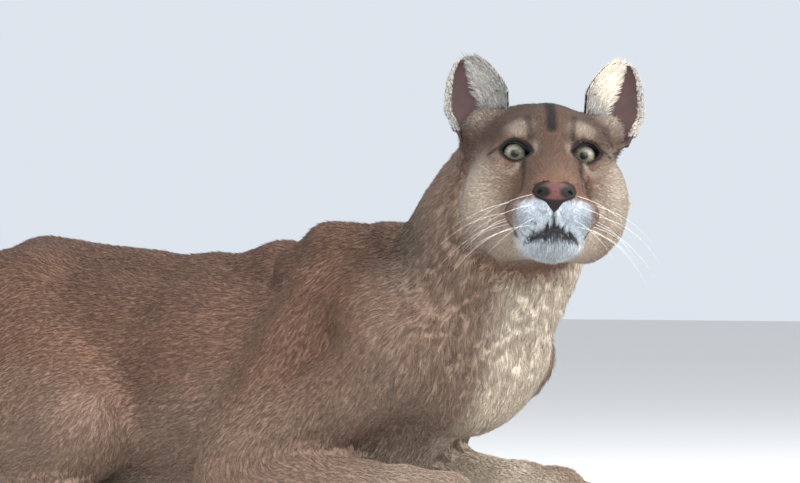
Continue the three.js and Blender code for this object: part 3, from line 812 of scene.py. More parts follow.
# %% The fur's colouring
FUR_COLOURS = {
    "Tawny": (0.205, 0.117, 0.079, 1),
    "Rust": (0.166, 0.094, 0.065, 1),
    "Grey": (0.090, 0.053, 0.037, 1),
    "Pale": (0.66, 0.57, 0.46, 1),
    "White": (0.52, 0.57, 0.62, 1),
    "Dark": (0.011, 0.008, 0.007, 1),
}
SLOW_TONE_SCALE = 9.0


def fur_colouring():
    inputs = {**FUR_COLOURS, "Streak Size": 700.0}
    group, tree, inward, outward = new_group("fur_colouring", inputs, COLOUR_AND_HEIGHT)
    along_body = tree.noise(tree.attribute("combed", "Vector"), inward["Streak Size"], 3.0)
    along_face = tree.noise(tree.attribute("combed_face", "Vector"), inward["Streak Size"], 3.0)
    fine = tree.mixed(tree.attribute("facial"), along_body, along_face, "FLOAT")
    slow = tree.noise(tree.own_place(), SLOW_TONE_SCALE, 3.0)
    colour = inward["Tawny"]
    for key in ("Rust", "Grey", "Pale", "White", "Dark"):
        colour = tree.mixed(tree.attribute(key.lower()), colour, inward[key])
    product = tree.nodes.new("ShaderNodeMath")
    product.operation = "MULTIPLY"
    tree.feed(product.inputs[0], tree.ranged(fine, 0.3, 0.7, 0.70, 1.30))
    tree.feed(product.inputs[1], tree.ranged(slow, 0.3, 0.7, 0.90, 1.10))
    tree.feed(outward["Color"], tree.toned(colour, product.outputs[0]))
    tree.feed(outward["Height"], fine)
    return group


fur_group = fur_colouring()


def fur_material(name, bump, sheen, per_tuft=False, **colours):
    material, tree, shader = new_material(name)
    fur = placed_group(tree, fur_group, **colours)
    colour = fur["Color"]
    if per_tuft:
        colour = tree.toned(colour, tree.attribute("tint"))
    tree.feed(shader.inputs["Base Color"], colour)
    shader.inputs["Roughness"].default_value = 0.72
    shader.inputs["Sheen Weight"].default_value = sheen
    shader.inputs["Sheen Roughness"].default_value = 0.45
    shader.inputs["Specular IOR Level"].default_value = 0.12
    if bump:
        tree.bumped(shader, fur["Height"], bump, 0.001)
    return material


skin_fur = fur_material("short_fur_on_skin", 0.8, 0.05)
coat_fur = fur_material("coat_tufts", 0, 0.08, per_tuft=True)
print("fur is mixed of", len(FUR_COLOURS), "colours")


# %% Fine pores, for bare skin and bristle
def fine_pores():
    inputs = {"Skin": (0.5, 0.5, 0.5, 1), "Scale": 900.0}
    group, tree, inward, outward = new_group("fine_pores", inputs, COLOUR_AND_HEIGHT)
    grain = tree.noise(tree.own_place(), inward["Scale"], 4.0)
    shade = tree.ranged(grain, 0.3, 0.7, 0.6, 1.5)
    tree.feed(outward["Color"], tree.toned(inward["Skin"], shade))
    tree.feed(outward["Height"], grain)
    return group


pore_group = fine_pores()


def pored_material(name, colour, roughness, coat, scale):
    material, tree, shader = new_material(name)
    pores = placed_group(tree, pore_group, Skin=colour, Scale=scale)
    tree.feed(shader.inputs["Base Color"], pores["Color"])
    tree.bumped(shader, pores["Height"], 0.4, 0.0004)
    shader.inputs["Roughness"].default_value = roughness
    shader.inputs["Coat Weight"].default_value = coat
    shader.inputs["Coat Roughness"].default_value = 0.12
    return material


lid_black = pored_material("lid_rim", (0.012, 0.009, 0.008, 1), 0.35, 0.5, 900.0)
bristle = pored_material("whisker_bristle", (0.86, 0.86, 0.84, 1), 0.35, 0.2, 1500.0)
print("lids and whiskers share the group", pore_group.name)

# %% [markdown]
# ## The skin
# All nodes of flesh become one closed surface. It is remeshed over the cuts, refined on the face, laid
# on the smooth form at the depth of the coat, and given its markings.

# %% One skin over the whole body
LEG_PARTS = ("foreleg", "forepaw", "hindleg", "hindpaw")
FLESH = ["torso", "neck", "head"]
FLESH += [f"{part}_{name}" for part in LEG_PARTS for name in SIDES]
FLESH += ["tail_base", "tail_middle", "tail_tip"]
SKIN_VOXEL = 0.0068


def rough_skin():
    piece = merged_copy("skin", FLESH)
    fatten = piece.modifiers.new("close_cuts", "DISPLACE")
    fatten.strength = 0.0008
    fatten.mid_level = 0
    apply_all(piece)
    remesh = piece.modifiers.new("remesh", "REMESH")
    remesh.mode = "VOXEL"
    remesh.voxel_size = SKIN_VOXEL
    apply_all(piece)
    return piece


skin = rough_skin()
print("rough skin has", len(skin.data.polygons), "faces")


# %% Finer quads on the face
def refine(piece, wanted, cuts):
    mesh = bmesh.new()
    mesh.from_mesh(piece.data)
    mesh.faces.ensure_lookup_table()
    centres = np.array([f.calc_center_median()[:] for f in mesh.faces]) / MM - PLACE
    chosen = [mesh.faces[i] for i in np.flatnonzero(wanted(centres))]
    edges = list({e for f in chosen for e in f.edges})
    bmesh.ops.subdivide_edges(mesh, edges=edges, cuts=cuts, use_grid_fill=True)
    mesh.to_mesh(piece.data)
    mesh.free()
    piece.data.update()


def on_head(p):
    h = to_head(p)
    return (np.linalg.norm((h - [-14, 0, -20]) / [112, 104, 108], axis=1) < 1) & (h[:, 0] > -90)


def on_features(p):
    m = both(to_head(p))
    eye = np.linalg.norm((m - [10, EYE_Y, EYE_Z]) / [26, 28, 24], axis=1) < 1
    mouth = np.linalg.norm((m - [60, 0, -86]) / [40, 46, 34], axis=1) < 1
    return eye | mouth


def lay_on_form(piece, rounds=4):
    points = drawn_on(animal_field, places(piece), coat_depth(places(piece)), rounds)
    points[:, 2] = np.maximum(points[:, 2], 0.4)
    set_places(piece, points)


lay_on_form(skin, 3)
refine(skin, on_head, 1)
refine(skin, on_features, 1)
lay_on_form(skin, 3)
print("skin has", len(skin.data.polygons), "faces")

# %% [markdown]
# ## Eyes and lids
# The eye is a ball in a socket. The lids leave an almond open in front of it, edged by a wet black rim.
# The opening is cut by an almond prism, and the rim is a thin tube that lies on the ball along the
# almond's outline. The pupil is small and round, as a cougar's is by day.

# %% The openings between the lids
SOCKET_RADIUS = EYE_RADIUS + 0.5


def away_from_nose(side, y):
    return side((0, y, 0))[1]


def cutter(name, side):
    outline = almond()
    count = len(outline)
    points = []
    for x in (4, 44):
        for across, up in outline:
            points.append((x, away_from_nose(side, EYE_Y + across), EYE_Z + up))
    faces = [tuple(range(count)), tuple(range(2 * count - 1, count - 1, -1))]
    for n in range(count):
        m = (n + 1) % count
        faces.append((n, count + n, count + m, m))
    piece = mesh_piece(name, to_scene(from_head(points)), faces)
    face_outward(piece)
    return piece


def ball(name, centre, radius, segments=64, rings=40):
    clear_selection()
    bpy.ops.mesh.primitive_uv_sphere_add(
        segments=segments, ring_count=rings, radius=radius * MM, location=centre
    )
    piece = bpy.context.object
    piece.name = name
    bpy.ops.object.transform_apply(location=True, rotation=True, scale=True)
    return piece


def subtract(piece, tool):
    cut = piece.modifiers.new("cut", "BOOLEAN")
    cut.operation = "DIFFERENCE"
    cut.solver = "MANIFOLD"
    cut.object = tool
    apply_all(piece)
    bpy.data.objects.remove(tool)


def eye_centre(side):
    return Vector(to_scene(from_head(side((0, EYE_Y, EYE_Z))))[0])


for name, side in SIDES.items():
    subtract(skin, cutter("almond_" + name, side))
    subtract(skin, ball("socket_" + name, eye_centre(side), SOCKET_RADIUS, 40, 24))
print("after the lids are opened the skin has", len(skin.data.polygons), "faces")

# %% The skin's markings and painted shade
COMB_MIDDLE = np.array([70.0, 0, 250])
COMB_STRETCH = 0.86


def combed_places(p):
    # Places squeezed along the hair, so that noise read there makes streaks that run with it.
    front = smooth(20, 140, p[:, 0])[:, None]
    way = np.array([-1, 0, -0.15]) * (1 - front) + np.array([-0.45, 0.1, -0.88]) * front
    way /= np.linalg.norm(way, axis=1)[:, None]
    q = p - COMB_MIDDLE
    body = q - COMB_STRETCH * (q * way).sum(1)[:, None] * way
    from_nose = to_head(p) - NOSE_FRONT
    reach = np.linalg.norm(from_nose, axis=1)[:, None]
    face = from_nose / reach * (70 + (1 - COMB_STRETCH) * reach)
    return body * MM, face * MM


def mark(piece):
    points = places(piece)
    for name, values in markings_and_painted_shade(points).items():
        set_attribute(piece, name, values)
    body, face = combed_places(points)
    set_attribute(piece, "combed", body, "FLOAT_VECTOR")
    set_attribute(piece, "combed_face", face, "FLOAT_VECTOR")
    set_attribute(piece, "facial", 1 - smooth(110, 140, np.linalg.norm(to_head(points), axis=1)))


mark(skin)
shade_smooth(skin)
put(skin, *FLESH, slot="fur", material=skin_fur)

# %% [markdown]
# Each eyeball is turned so that its pole looks at the viewer. Rings round the pole then carry the
# pupil, iris and white, as an attribute, and the front bulges a little, as the cornea does.

# %% The camera's place, which the eyes look at
CAMERA_AZIMUTH = math.radians(38)
CAMERA_FAR = 7244.0
CAMERA_ACROSS = 14.0
CAMERA_Z = 309.0
FOCAL_PIXELS = 6510
PHOTO_WIDTH = 800
SENSOR_WIDTH = 36
toward = np.array([math.sin(CAMERA_AZIMUTH), -math.cos(CAMERA_AZIMUTH), 0])
rightward = np.array([math.cos(CAMERA_AZIMUTH), math.sin(CAMERA_AZIMUTH), 0])
camera_at = toward * CAMERA_FAR + rightward * CAMERA_ACROSS + np.array([0, 0, CAMERA_Z])

# %% Eyeballs
IRIS_RADIUS = 12.0
CORNEA_BULGE = 1.3
GAZE_LIFT = 0.15


def gaze_from(side):
    centre = from_head(side((0, EYE_Y, EYE_Z)))[0]
    return (Vector(camera_at - centre).normalized() + Vector((0, 0, GAZE_LIFT))).normalized()


# Colours at shares of the eyeball's radius: pupil, iris, its dark ring, and the dark white of the eye.
EYE_RINGS = [
    (0.0, (0.002, 0.002, 0.003, 1)),
    (0.235, (0.002, 0.002, 0.003, 1)),
    (0.258, (0.10, 0.085, 0.055, 1)),
    (0.42, (0.245, 0.225, 0.172, 1)),
    (0.62, (0.19, 0.183, 0.148, 1)),
    (0.70, (0.05, 0.045, 0.03, 1)),
    (0.73, (0.012, 0.009, 0.007, 1)),
    (1.0, (0.012, 0.009, 0.007, 1)),
]


def eye_material():
    material, tree, shader = new_material("eye_glass")
    rings = tree.nodes.new("ShaderNodeValToRGB")
    ramp = rings.color_ramp
    ramp.elements[0].position, ramp.elements[0].color = EYE_RINGS[0]
    ramp.elements[1].position, ramp.elements[1].color = EYE_RINGS[-1]
    for position, colour in EYE_RINGS[1:-1]:
        ramp.elements.new(position).color = colour
    tree.feed(rings.inputs["Fac"], tree.attribute("from_pupil"))
    fibres = tree.noise(tree.attribute("spoke", "Vector"), 1.0, 4.0)
    shade = tree.ranged(fibres, 0.35, 0.65, 0.6, 1.35)
    tree.feed(shader.inputs["Base Color"], tree.toned(rings.outputs["Color"], shade))
    shader.inputs["Roughness"].default_value = 0.3
    shader.inputs["Specular IOR Level"].default_value = 0.2
    shader.inputs["Coat Weight"].default_value = 0.4
    shader.inputs["Coat Roughness"].default_value = 0.05
    return material


eye_glass = eye_material()


def eyeball(name, side):
    centre = eye_centre(side)
    piece = ball("eyeball_" + name, (0, 0, 0), EYE_RADIUS, 96, 96)
    points = np.array([v.co[:] for v in piece.data.vertices]) / MM
    from_pupil = np.linalg.norm(points[:, :2], axis=1)
    from_pupil[points[:, 2] < 0] = 2 * EYE_RADIUS - from_pupil[points[:, 2] < 0]
    turn = np.arctan2(points[:, 1], points[:, 0])
    front = points[:, 2] > 0
    bulge = CORNEA_BULGE * (1 - smooth(0, IRIS_RADIUS + 1, from_pupil)) * front
    points[:, 2] += bulge - CORNEA_BULGE * 0.4 * front * (1 - smooth(0, IRIS_RADIUS + 3, from_pupil))
    spin = np.array(gaze_from(side).to_track_quat("Z", "Y").to_matrix())
    placed = points @ spin.T * MM + np.array(centre)
    piece.data.vertices.foreach_set("co", placed.ravel())
    set_attribute(piece, "from_pupil", from_pupil / EYE_RADIUS)
    spoke = np.stack([np.cos(turn) * 7, np.sin(turn) * 7, from_pupil * 0.12], 1)
    set_attribute(piece, "spoke", spoke, "FLOAT_VECTOR")
    piece.data.update()
    shade_smooth(piece)
    put(piece, "eye_" + name, slot="eye", material=eye_glass)
    return piece


for name, side in SIDES.items():
    eyeball(name, side)


# %% Tubes along a line
def swept(name, line, radii, sides=10, closed=False):
    # A tube of changing radius along a line of points, in the body's frame.
    line = np.array(line, float)
    count = len(line)
    ahead = np.roll(line, -1, 0) - np.roll(line, 1, 0)
    if not closed:
        ahead[0] = line[1] - line[0]
        ahead[-1] = line[-1] - line[-2]
    ahead /= np.linalg.norm(ahead, axis=1)[:, None]
    up = np.cross(ahead, [0.31, 0.52, 0.79])
    up /= np.linalg.norm(up, axis=1)[:, None]
    out = np.cross(ahead, up)
    turn = np.linspace(0, 2 * math.pi, sides, endpoint=False)
    ring = np.cos(turn)[None, :, None] * up[:, None] + np.sin(turn)[None, :, None] * out[:, None]
    points = (line[:, None] + np.array(radii)[:, None, None] * ring).reshape(-1, 3)
    faces = []
    last = count if closed else count - 1
    for n in range(last):
        a, b = n * sides, ((n + 1) % count) * sides
        for k in range(sides):
            m = (k + 1) % sides
            faces.append((a + k, a + m, b + m, b + k))
    if not closed:
        faces.append(tuple(range(sides - 1, -1, -1)))
        faces.append(tuple(range((count - 1) * sides, count * sides)))
    return points, faces


# %% The black rims of the lids
RIM_RADIUS = 1.7


def lid_rim(name, side):
    outline = almond(0.7, 30)
    line = []
    for across, up in outline:
        flat = math.hypot(across, up)
        x = math.sqrt(max(0.0, (EYE_RADIUS + 0.4) ** 2 - flat**2))
        line.append((max(x, 7.5), away_from_nose(side, EYE_Y + across), EYE_Z + up))
    points, faces = swept("rim", from_head(line), [RIM_RADIUS] * len(line), 10, True)
    piece = mesh_piece("lid_rim_" + name, to_scene(points), faces)
    face_outward(piece)
    shade_smooth(piece)
    put(piece, slot="nose", material=lid_black)


for name, side in SIDES.items():
    lid_rim(name, side)

# %% [markdown]
# ## The nose
# The nose pad is bare, moist leather, pink in the middle and dark at its edges, with a nostril that
# curls out and back on each side. It is remeshed finely from its solid, so the nostrils stay open, and
# then smoothed.

# %% The nose leather
NOSE_PINK = (0.098, 0.038, 0.035, 1)
NOSE_BLACK = (0.006, 0.004, 0.004, 1)
NOSTRIL_Y = 14


def nose_material():
    material = pored_material("nose_leather", NOSE_PINK, 0.5, 0.04, 700.0)
    tree = Wiring(material.node_tree)
    shader = tree.nodes["Principled BSDF"]
    shader.inputs["Specular IOR Level"].default_value = 0.2
    pink = shader.inputs["Base Color"].links[0].from_socket
    tree.feed(shader.inputs["Base Color"], tree.mixed(tree.attribute("edge"), pink, NOSE_BLACK))
    return material


nose = merged_copy("nose_leather", ["nose"])
fine = nose.modifiers.new("remesh", "REMESH")
fine.mode = "VOXEL"
fine.voxel_size = 0.0007
apply_all(nose)
soften = nose.modifiers.new("soften", "SMOOTH")
soften.iterations = 8
soften.factor = 0.6
apply_all(nose)
nose_points = to_head(places(nose))
nostril_offset = both(nose_points) - [80, NOSTRIL_Y, -63.5]
hole_distance = np.linalg.norm(nostril_offset / [1.8, 1.25, 0.85], axis=1)
outline_reach = np.linalg.norm((nose_points[:, 1:] - [0, -62]) / [22.5, 13], axis=1)
nose_edge = np.maximum(1 - smooth(6, 10.5, hole_distance), 0.95 * smooth(0.58, 0.90, outline_reach))
nose_edge = np.maximum(nose_edge, 0.95 * smooth(-69, -75, nose_points[:, 2]))
set_attribute(nose, "edge", nose_edge)
shade_smooth(nose)
put(nose, "nose", slot="nose", material=nose_material())
print("nose has", len(nose.data.polygons), "faces")

# %% [markdown]
# ## Ears
# Each ear is a thin cup with a rounded tip. Its inner side is pinkish bare skin with long pale hair
# growing from the inner edge, and its back is short dark fur. The shell is built row by row, as the
# solid is, only finer, and its foot is sunk into the head so that no gap shows.

# %% The shell of an ear
EAR_FOOT = np.array([-60.0, 69, 44])
EAR_TIP = np.array([-72.0, 88, 122])
EAR_OPENING = np.array([0.92, 0.39, 0.03])
EAR_HALF_WIDTH = 35.0
EAR_DEPTH = 20.0
EAR_WALL = 3.4
EAR_WIDEST = 0.34
EAR_TAPER = 0.24

ear_up = EAR_TIP - EAR_FOOT
ear_height = np.linalg.norm(ear_up)
ear_up /= ear_height
ear_facing = EAR_OPENING - (EAR_OPENING @ ear_up) * ear_up
ear_facing /= np.linalg.norm(ear_facing)
ear_across = np.cross(ear_up, ear_facing)


def ear_point(t, s, back, inset=0.0):
    # A point of the left ear: t from foot to tip, s from one edge to the other, back 0 inside or 1 outside.
    t = min(t, 0.985)
    past = max(0, t - EAR_WIDEST) / (1 - EAR_WIDEST)
    rounding = math.sqrt(1 - past * past) * (1 - EAR_TAPER * past)
    half = EAR_HALF_WIDTH * (0.86 + 0.14 * min(1, t / EAR_WIDEST)) * rounding - inset
    depth = EAR_DEPTH * (1 - t) ** 0.6 + 2
    wall = EAR_WALL * (0.35 + 0.65 * math.sqrt(max(0, 1 - s * s)))
    point = EAR_FOOT + ear_up * (ear_height * t + back * 1.2 * t)
    point = point + ear_across * s * (half + back * 0.6)
    return point - ear_facing * (depth * (1 - s * s) + back * wall)


def ear_material():
    material, tree, shader = new_material("ear_skin")
    mottle = tree.noise(tree.own_place(), 120.0, 5.0)
    inside = tree.mixed(mottle, (0.026, 0.011, 0.010, 1), (0.070, 0.026, 0.024, 1))
    whole = tree.mixed(tree.attribute("outside"), inside, (0.055, 0.043, 0.037, 1))
    tree.feed(shader.inputs["Base Color"], whole)
    shader.inputs["Roughness"].default_value = 0.7
    tree.bumped(shader, mottle, 0.5, 0.0006)
    return material


ear_skin = ear_material()
EAR_ROWS = 30
EAR_COLUMNS = 22


def ear_piece(name, side):
    points = []
    outside = []
    for back in (0, 1):
        for row in range(EAR_ROWS + 1):
            for column in range(EAR_COLUMNS + 1):
                t = -0.12 + 1.105 * row / EAR_ROWS
                s = 2 * column / EAR_COLUMNS - 1
                points.append(side(tuple(ear_point(t, s, back, 0.6))))
                outside.append(back)
    width = EAR_COLUMNS + 1
    sheet = (EAR_ROWS + 1) * width
    faces = []
    for row in range(EAR_ROWS):
        for column in range(EAR_COLUMNS):
            a = row * width + column
            faces.append((a, a + 1, a + width + 1, a + width))
            faces.append((a + sheet, a + width + sheet, a + width + 1 + sheet, a + 1 + sheet))
    for row in range(EAR_ROWS):
        for a in (row * width, row * width + EAR_COLUMNS):
            faces.append((a, a + width, a + width + sheet, a + sheet))
    for column in range(EAR_COLUMNS):
        for a in (column, EAR_ROWS * width + column):
            faces.append((a, a + 1, a + 1 + sheet, a + sheet))
    piece = mesh_piece("ear_shell_" + name, to_scene(from_head(points)), faces)
    set_attribute(piece, "outside", np.array(outside, float))
    face_outward(piece)
    shade_smooth(piece)
    put(piece, "ear_" + name, slot="ear_fur", material=ear_skin)
    return piece


for name, side in SIDES.items():
    ear = ear_piece(name, side)
    print(ear.name, "has", len(ear.data.polygons), "faces")

# %% [markdown]
# ## The coat
# A short coat is built as many thin tufts that overlap like thatch. Each tuft is a flat sliver that
# narrows from a root in the skin to a fine tip. They are scattered over the skin, more densely where they
# are small, and each lies along the hair with a little disorder of its own. A slow ripple lifts and turns
# whole patches, as real fur parts and clumps. Hair strands would look finer, but can't be kept as solids.

# %% Scatter roots over a surface
RNG = np.random.default_rng(7)


def triangles_of(piece):
    piece.data.calc_loop_triangles()
    count = len(piece.data.loop_triangles)
    index = np.empty(count * 3, dtype=np.int32)
    piece.data.loop_triangles.foreach_get("vertices", index)
    return index.reshape(-1, 3)


def scatter(points, normals, triangles, density_at):
    a, b, c = (points[triangles[:, n]] for n in range(3))
    area = np.linalg.norm(np.cross(b - a, c - a), axis=1) / 2
    wanted = area * density_at((a + b + c) / 3)
    count = np.floor(wanted + RNG.random(len(wanted))).astype(int)
    chosen = np.repeat(np.arange(len(triangles)), count)
    u = RNG.random(len(chosen))
    v = RNG.random(len(chosen))
    fold = u + v > 1
    u[fold], v[fold] = 1 - u[fold], 1 - v[fold]
    w = 1 - u - v
    corner = triangles[chosen]
    root = w[:, None] * points[corner[:, 0]] + u[:, None] * points[corner[:, 1]]
    root += v[:, None] * points[corner[:, 2]]
    normal = w[:, None] * normals[corner[:, 0]] + u[:, None] * normals[corner[:, 1]]
    normal += v[:, None] * normals[corner[:, 2]]
    normal /= np.maximum(np.linalg.norm(normal, axis=1), 1e-6)[:, None]
    return root, normal


# %% Tufts: slivers and blades
# A sliver is a flat pyramid of four points. A blade has a bend in its middle and seven points.
SLIVER_FACES = np.array([(0, 1, 2), (1, 0, 3), (2, 1, 3), (0, 2, 3)])
BLADE_FACES = np.array(
    [
        (0, 1, 4), (0, 4, 3), (1, 2, 5), (1, 5, 4), (2, 0, 3), (2, 3, 5),
        (3, 4, 6), (4, 5, 6), (5, 3, 6), (0, 2, 1),
    ]
)
SLIVER_UV = np.array([(0, 0), (1, 0), (0.5, 0.3), (0.5, 1)])
BLADE_UV = np.array([(0, 0), (1, 0), (0.5, 0.3), (0, 0.6), (1, 0.6), (0.5, 0.7), (0.5, 1)])
SLIVER_TONE = [0.84, 0.84, 0.90, 1.12]
BLADE_TONE = [0.84, 0.84, 0.84, 1.0, 1.0, 1.02, 1.12]
TUFT_KINDS = {4: (SLIVER_FACES, SLIVER_UV, SLIVER_TONE), 7: (BLADE_FACES, BLADE_UV, BLADE_TONE)}
ROOT_SINK = 0.6


def slivers(root, normal, lie, length, width, rise):
    across = np.cross(normal, lie) * (0.5 * width)[:, None]
    top = normal * (0.28 * width)[:, None]
    start = root - normal * ROOT_SINK
    tip = root + lie * length[:, None] + normal * rise[:, None]
    return np.stack([start + across, start - across, root + top, tip], 1)


def blades(root, normal, lie, length, width, rise):
    # Rise is the height of the middle and of the tip over the skin, as two columns.
    across = np.cross(normal, lie)
    thick = 0.3 * width
    start = root - normal * ROOT_SINK
    middle = root + lie * (0.5 * length)[:, None] + normal * rise[:, :1]
    tip = root + lie * length[:, None] + normal * rise[:, 1:2]
    half = (across * (0.5 * width)[:, None], normal * thick[:, None])
    ring = []
    for centre, share in ((start, 0.7), (middle, 1.0)):
        ring += [centre + share * half[0], centre - share * half[0], centre + share * half[1]]
    return np.stack([*ring, tip], 1)


PATCH = 0.003
HEAD_PIECES = 128
SPINE_Z = 150
TAIL_X, PAW_X = -1100, 400
NAPE_X, MUZZLE_X = -140, 100


def patch_coordinates(root):
    # The skin unrolled, along the body and round it, and the head unrolled in the same way.
    h = to_head(root)
    in_head = skull_reach(h) < HEAD_PIECES
    round_body = np.arctan2(root[:, 1], root[:, 2] - SPINE_Z) / (2 * math.pi) + 0.5
    along = (root[:, 0] - TAIL_X) / (PAW_X - TAIL_X)
    round_head = np.arctan2(h[:, 1], h[:, 2] - HEAD_MIDDLE[2]) / (2 * math.pi) + 0.5
    along_head = (h[:, 0] - NAPE_X) / (MUZZLE_X - NAPE_X)
    u = np.where(in_head, along_head, along)
    v = np.where(in_head, round_head, round_body)
    return np.stack([u, v], 1)


def tuft_piece(name, points, root, slot, material, tint, uv=None):
    count, corners_each = points.shape[:2]
    one_tuft, one_patch, tone = TUFT_KINDS[corners_each]
    faces = (one_tuft[None] + corners_each * np.arange(count)[:, None, None]).reshape(-1, 3)
    data = bpy.data.meshes.new(name)
    data.vertices.add(count * corners_each)
    data.vertices.foreach_set("co", to_scene(points.reshape(-1, 3)).ravel())
    data.loops.add(faces.size)
    data.loops.foreach_set("vertex_index", faces.ravel().astype(np.int32))
    data.polygons.add(len(faces))
    data.polygons.foreach_set("loop_start", np.arange(0, faces.size, 3, dtype=np.int32))
    data.update(calc_edges=True)
    piece = bpy.data.objects.new(name, data)
    bpy.context.scene.collection.objects.link(piece)
    layer = data.uv_layers.new(name="OFBake")
    centre = np.clip(patch_coordinates(root) if uv is None else uv, PATCH, 1 - PATCH)
    corners = (centre[:, None] + PATCH * (one_patch[None] - 0.5)).reshape(-1, 2)
    layer.data.foreach_set("uv", corners[faces.ravel()].astype(np.float32).ravel())
    for key, values in markings_and_painted_shade(root).items():
        set_attribute(piece, key, np.repeat(values, corners_each))
    set_attribute(piece, "combed", np.repeat(root * MM, corners_each, axis=0), "FLOAT_VECTOR")
    set_attribute(piece, "tint", np.repeat(tint, corners_each) * np.tile(tone, count))
    data.polygons.foreach_set("use_smooth", np.ones(len(faces), dtype=bool))
    put(piece, slot=slot, material=material)
    return piece


# %% The coat over the skin
FACE_DENSITY = 0.95
BODY_DENSITY = 0.185
QUICK_SHARE = 1.0


def tuft_density(p):
    face = faceness(p)
    foot = 1 - smooth(20, 70, p[:, 2])
    body = BODY_DENSITY * (1 + 0.25 * foot)
    hidden = smooth(6, 2, p[:, 2])
    return (body * (1 - face) + FACE_DENSITY * face) * QUICK_SHARE * (1 - 0.9 * hidden)


def in_almond(m):
    # Whether a place lies inside the outline of the opening, seen from the front.
    outline = almond()
    y, z = m[:, 1] - EYE_Y, m[:, 2] - EYE_Z
    crossings = np.zeros(len(m), dtype=int)
    for (ay, az), (by, bz) in zip(outline, np.roll(outline, -1, 0)):
        spans = (az > z) != (bz > z)
        at = ay + (z - az) / (bz - az if bz != az else 1e-9) * (by - ay)
        crossings += spans & (y < at)
    return crossings % 2 == 1


def bare_places(root):
    # No hair grows on the lids' rims, the nose or in the line of the mouth.
    m = both(to_head(root))
    inside = (np.abs(m[:, 1] - EYE_Y) < 16) & (np.abs(m[:, 2] - EYE_Z) < 14) & (m[:, 0] > 0)
    eye = (lid_distance(m) < 2.4) | (inside & in_almond(m))
    nose_pad = (np.linalg.norm((m - [80, 0, -62]) / [20, 25, 13], axis=1) < 1) | (
        np.linalg.norm((m - [78, 0, -76]) / [16, 8, 11], axis=1) < 1
    )
    mouth = path_distance(m, LIP_MARK) < 2.4 - 1.2 * smooth(4, 30, m[:, 1])
    return eye | nose_pad | mouth | (root[:, 2] < 1.5)


skin_points = places(skin)
skin_normals = normals_of(skin)
skin_triangles = triangles_of(skin)
root, normal = scatter(skin_points, skin_normals, skin_triangles, tuft_density)
keep = ~bare_places(root)
root, normal = root[keep], normal[keep]
lie = lie_of_hair(root, normal)
print(len(root), "tufts over the skin")


# %% Length, width and lift of each tuft
def turned(lie, normal, angle):
    across = np.cross(normal, lie)
    return lie * np.cos(angle)[:, None] + across * np.sin(angle)[:, None]


def coat_slivers(root, normal, lie):
    count = len(root)
    face = faceness(root)
    foot = 1 - smooth(20, 70, root[:, 2])
    front = frontness(root)
    m = both(to_head(root))
    by_eye = 1 - smooth(3, 12, lid_distance(m))
    by_nose = 1 - smooth(24, 36, np.linalg.norm(m - [78, 0, -66], axis=1))
    by_lips = 1.6 * (1 - smooth(4, 14, path_distance(m, LIP_MARK)))
    spread = RNG.normal(size=(4, count))
    clump = ripple(root, 24, 11)
    swirl = ripple(root, 60, 12)
    length = (9.5 - 4 * foot + 4 * front) * (1 - face) + 4.2 * face
    shorter = 0.5 * np.maximum.reduce([by_eye, by_nose, by_lips])
    length *= np.clip(1 + 0.22 * spread[0], 0.5, 1.6) * (1 - shorter)
    width = (1.05 * (1 - face) + 0.58 * face) * np.clip(1 + 0.2 * spread[1], 0.5, 1.5)
    angle = 0.12 * spread[2] + (0.07 + 0.26 * front) * clump * (1 - 0.7 * face) + 0.1 * swirl
    lift = np.clip(0.42 + 0.16 * spread[3] + 0.26 * front * clump, 0.08, 1.1)
    rise = coat_depth(root) * lift
    return slivers(root, normal, turned(lie, normal, angle), length, width, rise)


coat_points = coat_slivers(root, normal, lie)
tint = np.clip(1 + 0.12 * RNG.normal(size=len(root)), 0.5, 1.7)
coat_points[:, :, 2] = np.maximum(coat_points[:, :, 2], 0.2)


# %% The coat in pieces, by region
def regions(p):
    h = to_head(p)
    in_head = skull_reach(h) < HEAD_PIECES
    region = np.full(len(p), 0)
    region[p[:, 0] < -90] = 1
    region[p[:, 0] < -250] = 2
    region[p[:, 0] < -410] = 3
    region[p[:, 0] > 60] = 4
    region[(p[:, 0] > 60) & (p[:, 2] > 215)] = 5
    region[(np.abs(p[:, 1]) > 70) & (p[:, 2] < 110)] = 6
    region[p[:, 0] < -640] = 7
    region[in_head] = 8
    region[in_head & (h[:, 0] > -28)] = 9
    region[in_head & (h[:, 0] > 22)] = 10
    return region


REGION_NAMES = ["shoulder", "ribs", "side", "rump", "chest", "neck", "legs", "tail"]
REGION_NAMES += ["cheek_and_crown", "face", "muzzle"]
FIRST_OF_HEAD = REGION_NAMES.index("cheek_and_crown")
PIECE_LIMIT = 48000
which = regions(root)
for number, region in enumerate(REGION_NAMES):
    chosen = np.flatnonzero(which == number)
    for part, share in enumerate(np.array_split(chosen, max(1, math.ceil(len(chosen) / PIECE_LIMIT)))):
        piece = tuft_piece(
            f"coat_{region}_{part + 1}",
            coat_points[share],
            root[share],
            "face_fur" if number >= FIRST_OF_HEAD else "fur",
            coat_fur,
            tint[share],
        )
        print(piece.name, "has", len(piece.data.polygons), "triangles")

# %% [markdown]
# The ears' backs wear short dark fur, their rims a pale fringe, and long pale hair grows from the inner
# edge across the cup.

# %% Hair of the ears
ear_back_fur = fur_material(
    "ear_back_fur", 0, 0.05, per_tuft=True, Tawny=(0.075, 0.058, 0.048, 1), Grey=(0.075, 0.058, 0.048, 1)
)
ear_pale_hair = fur_material(
    "ear_pale_hair", 0, 0.05, per_tuft=True, Tawny=(0.29, 0.285, 0.265, 1), Grey=(0.24, 0.235, 0.22, 1)
)
EAR_BACK_TUFTS = 3400
EAR_RIM_TUFTS = 2000
EAR_INNER_TUFTS = 2600


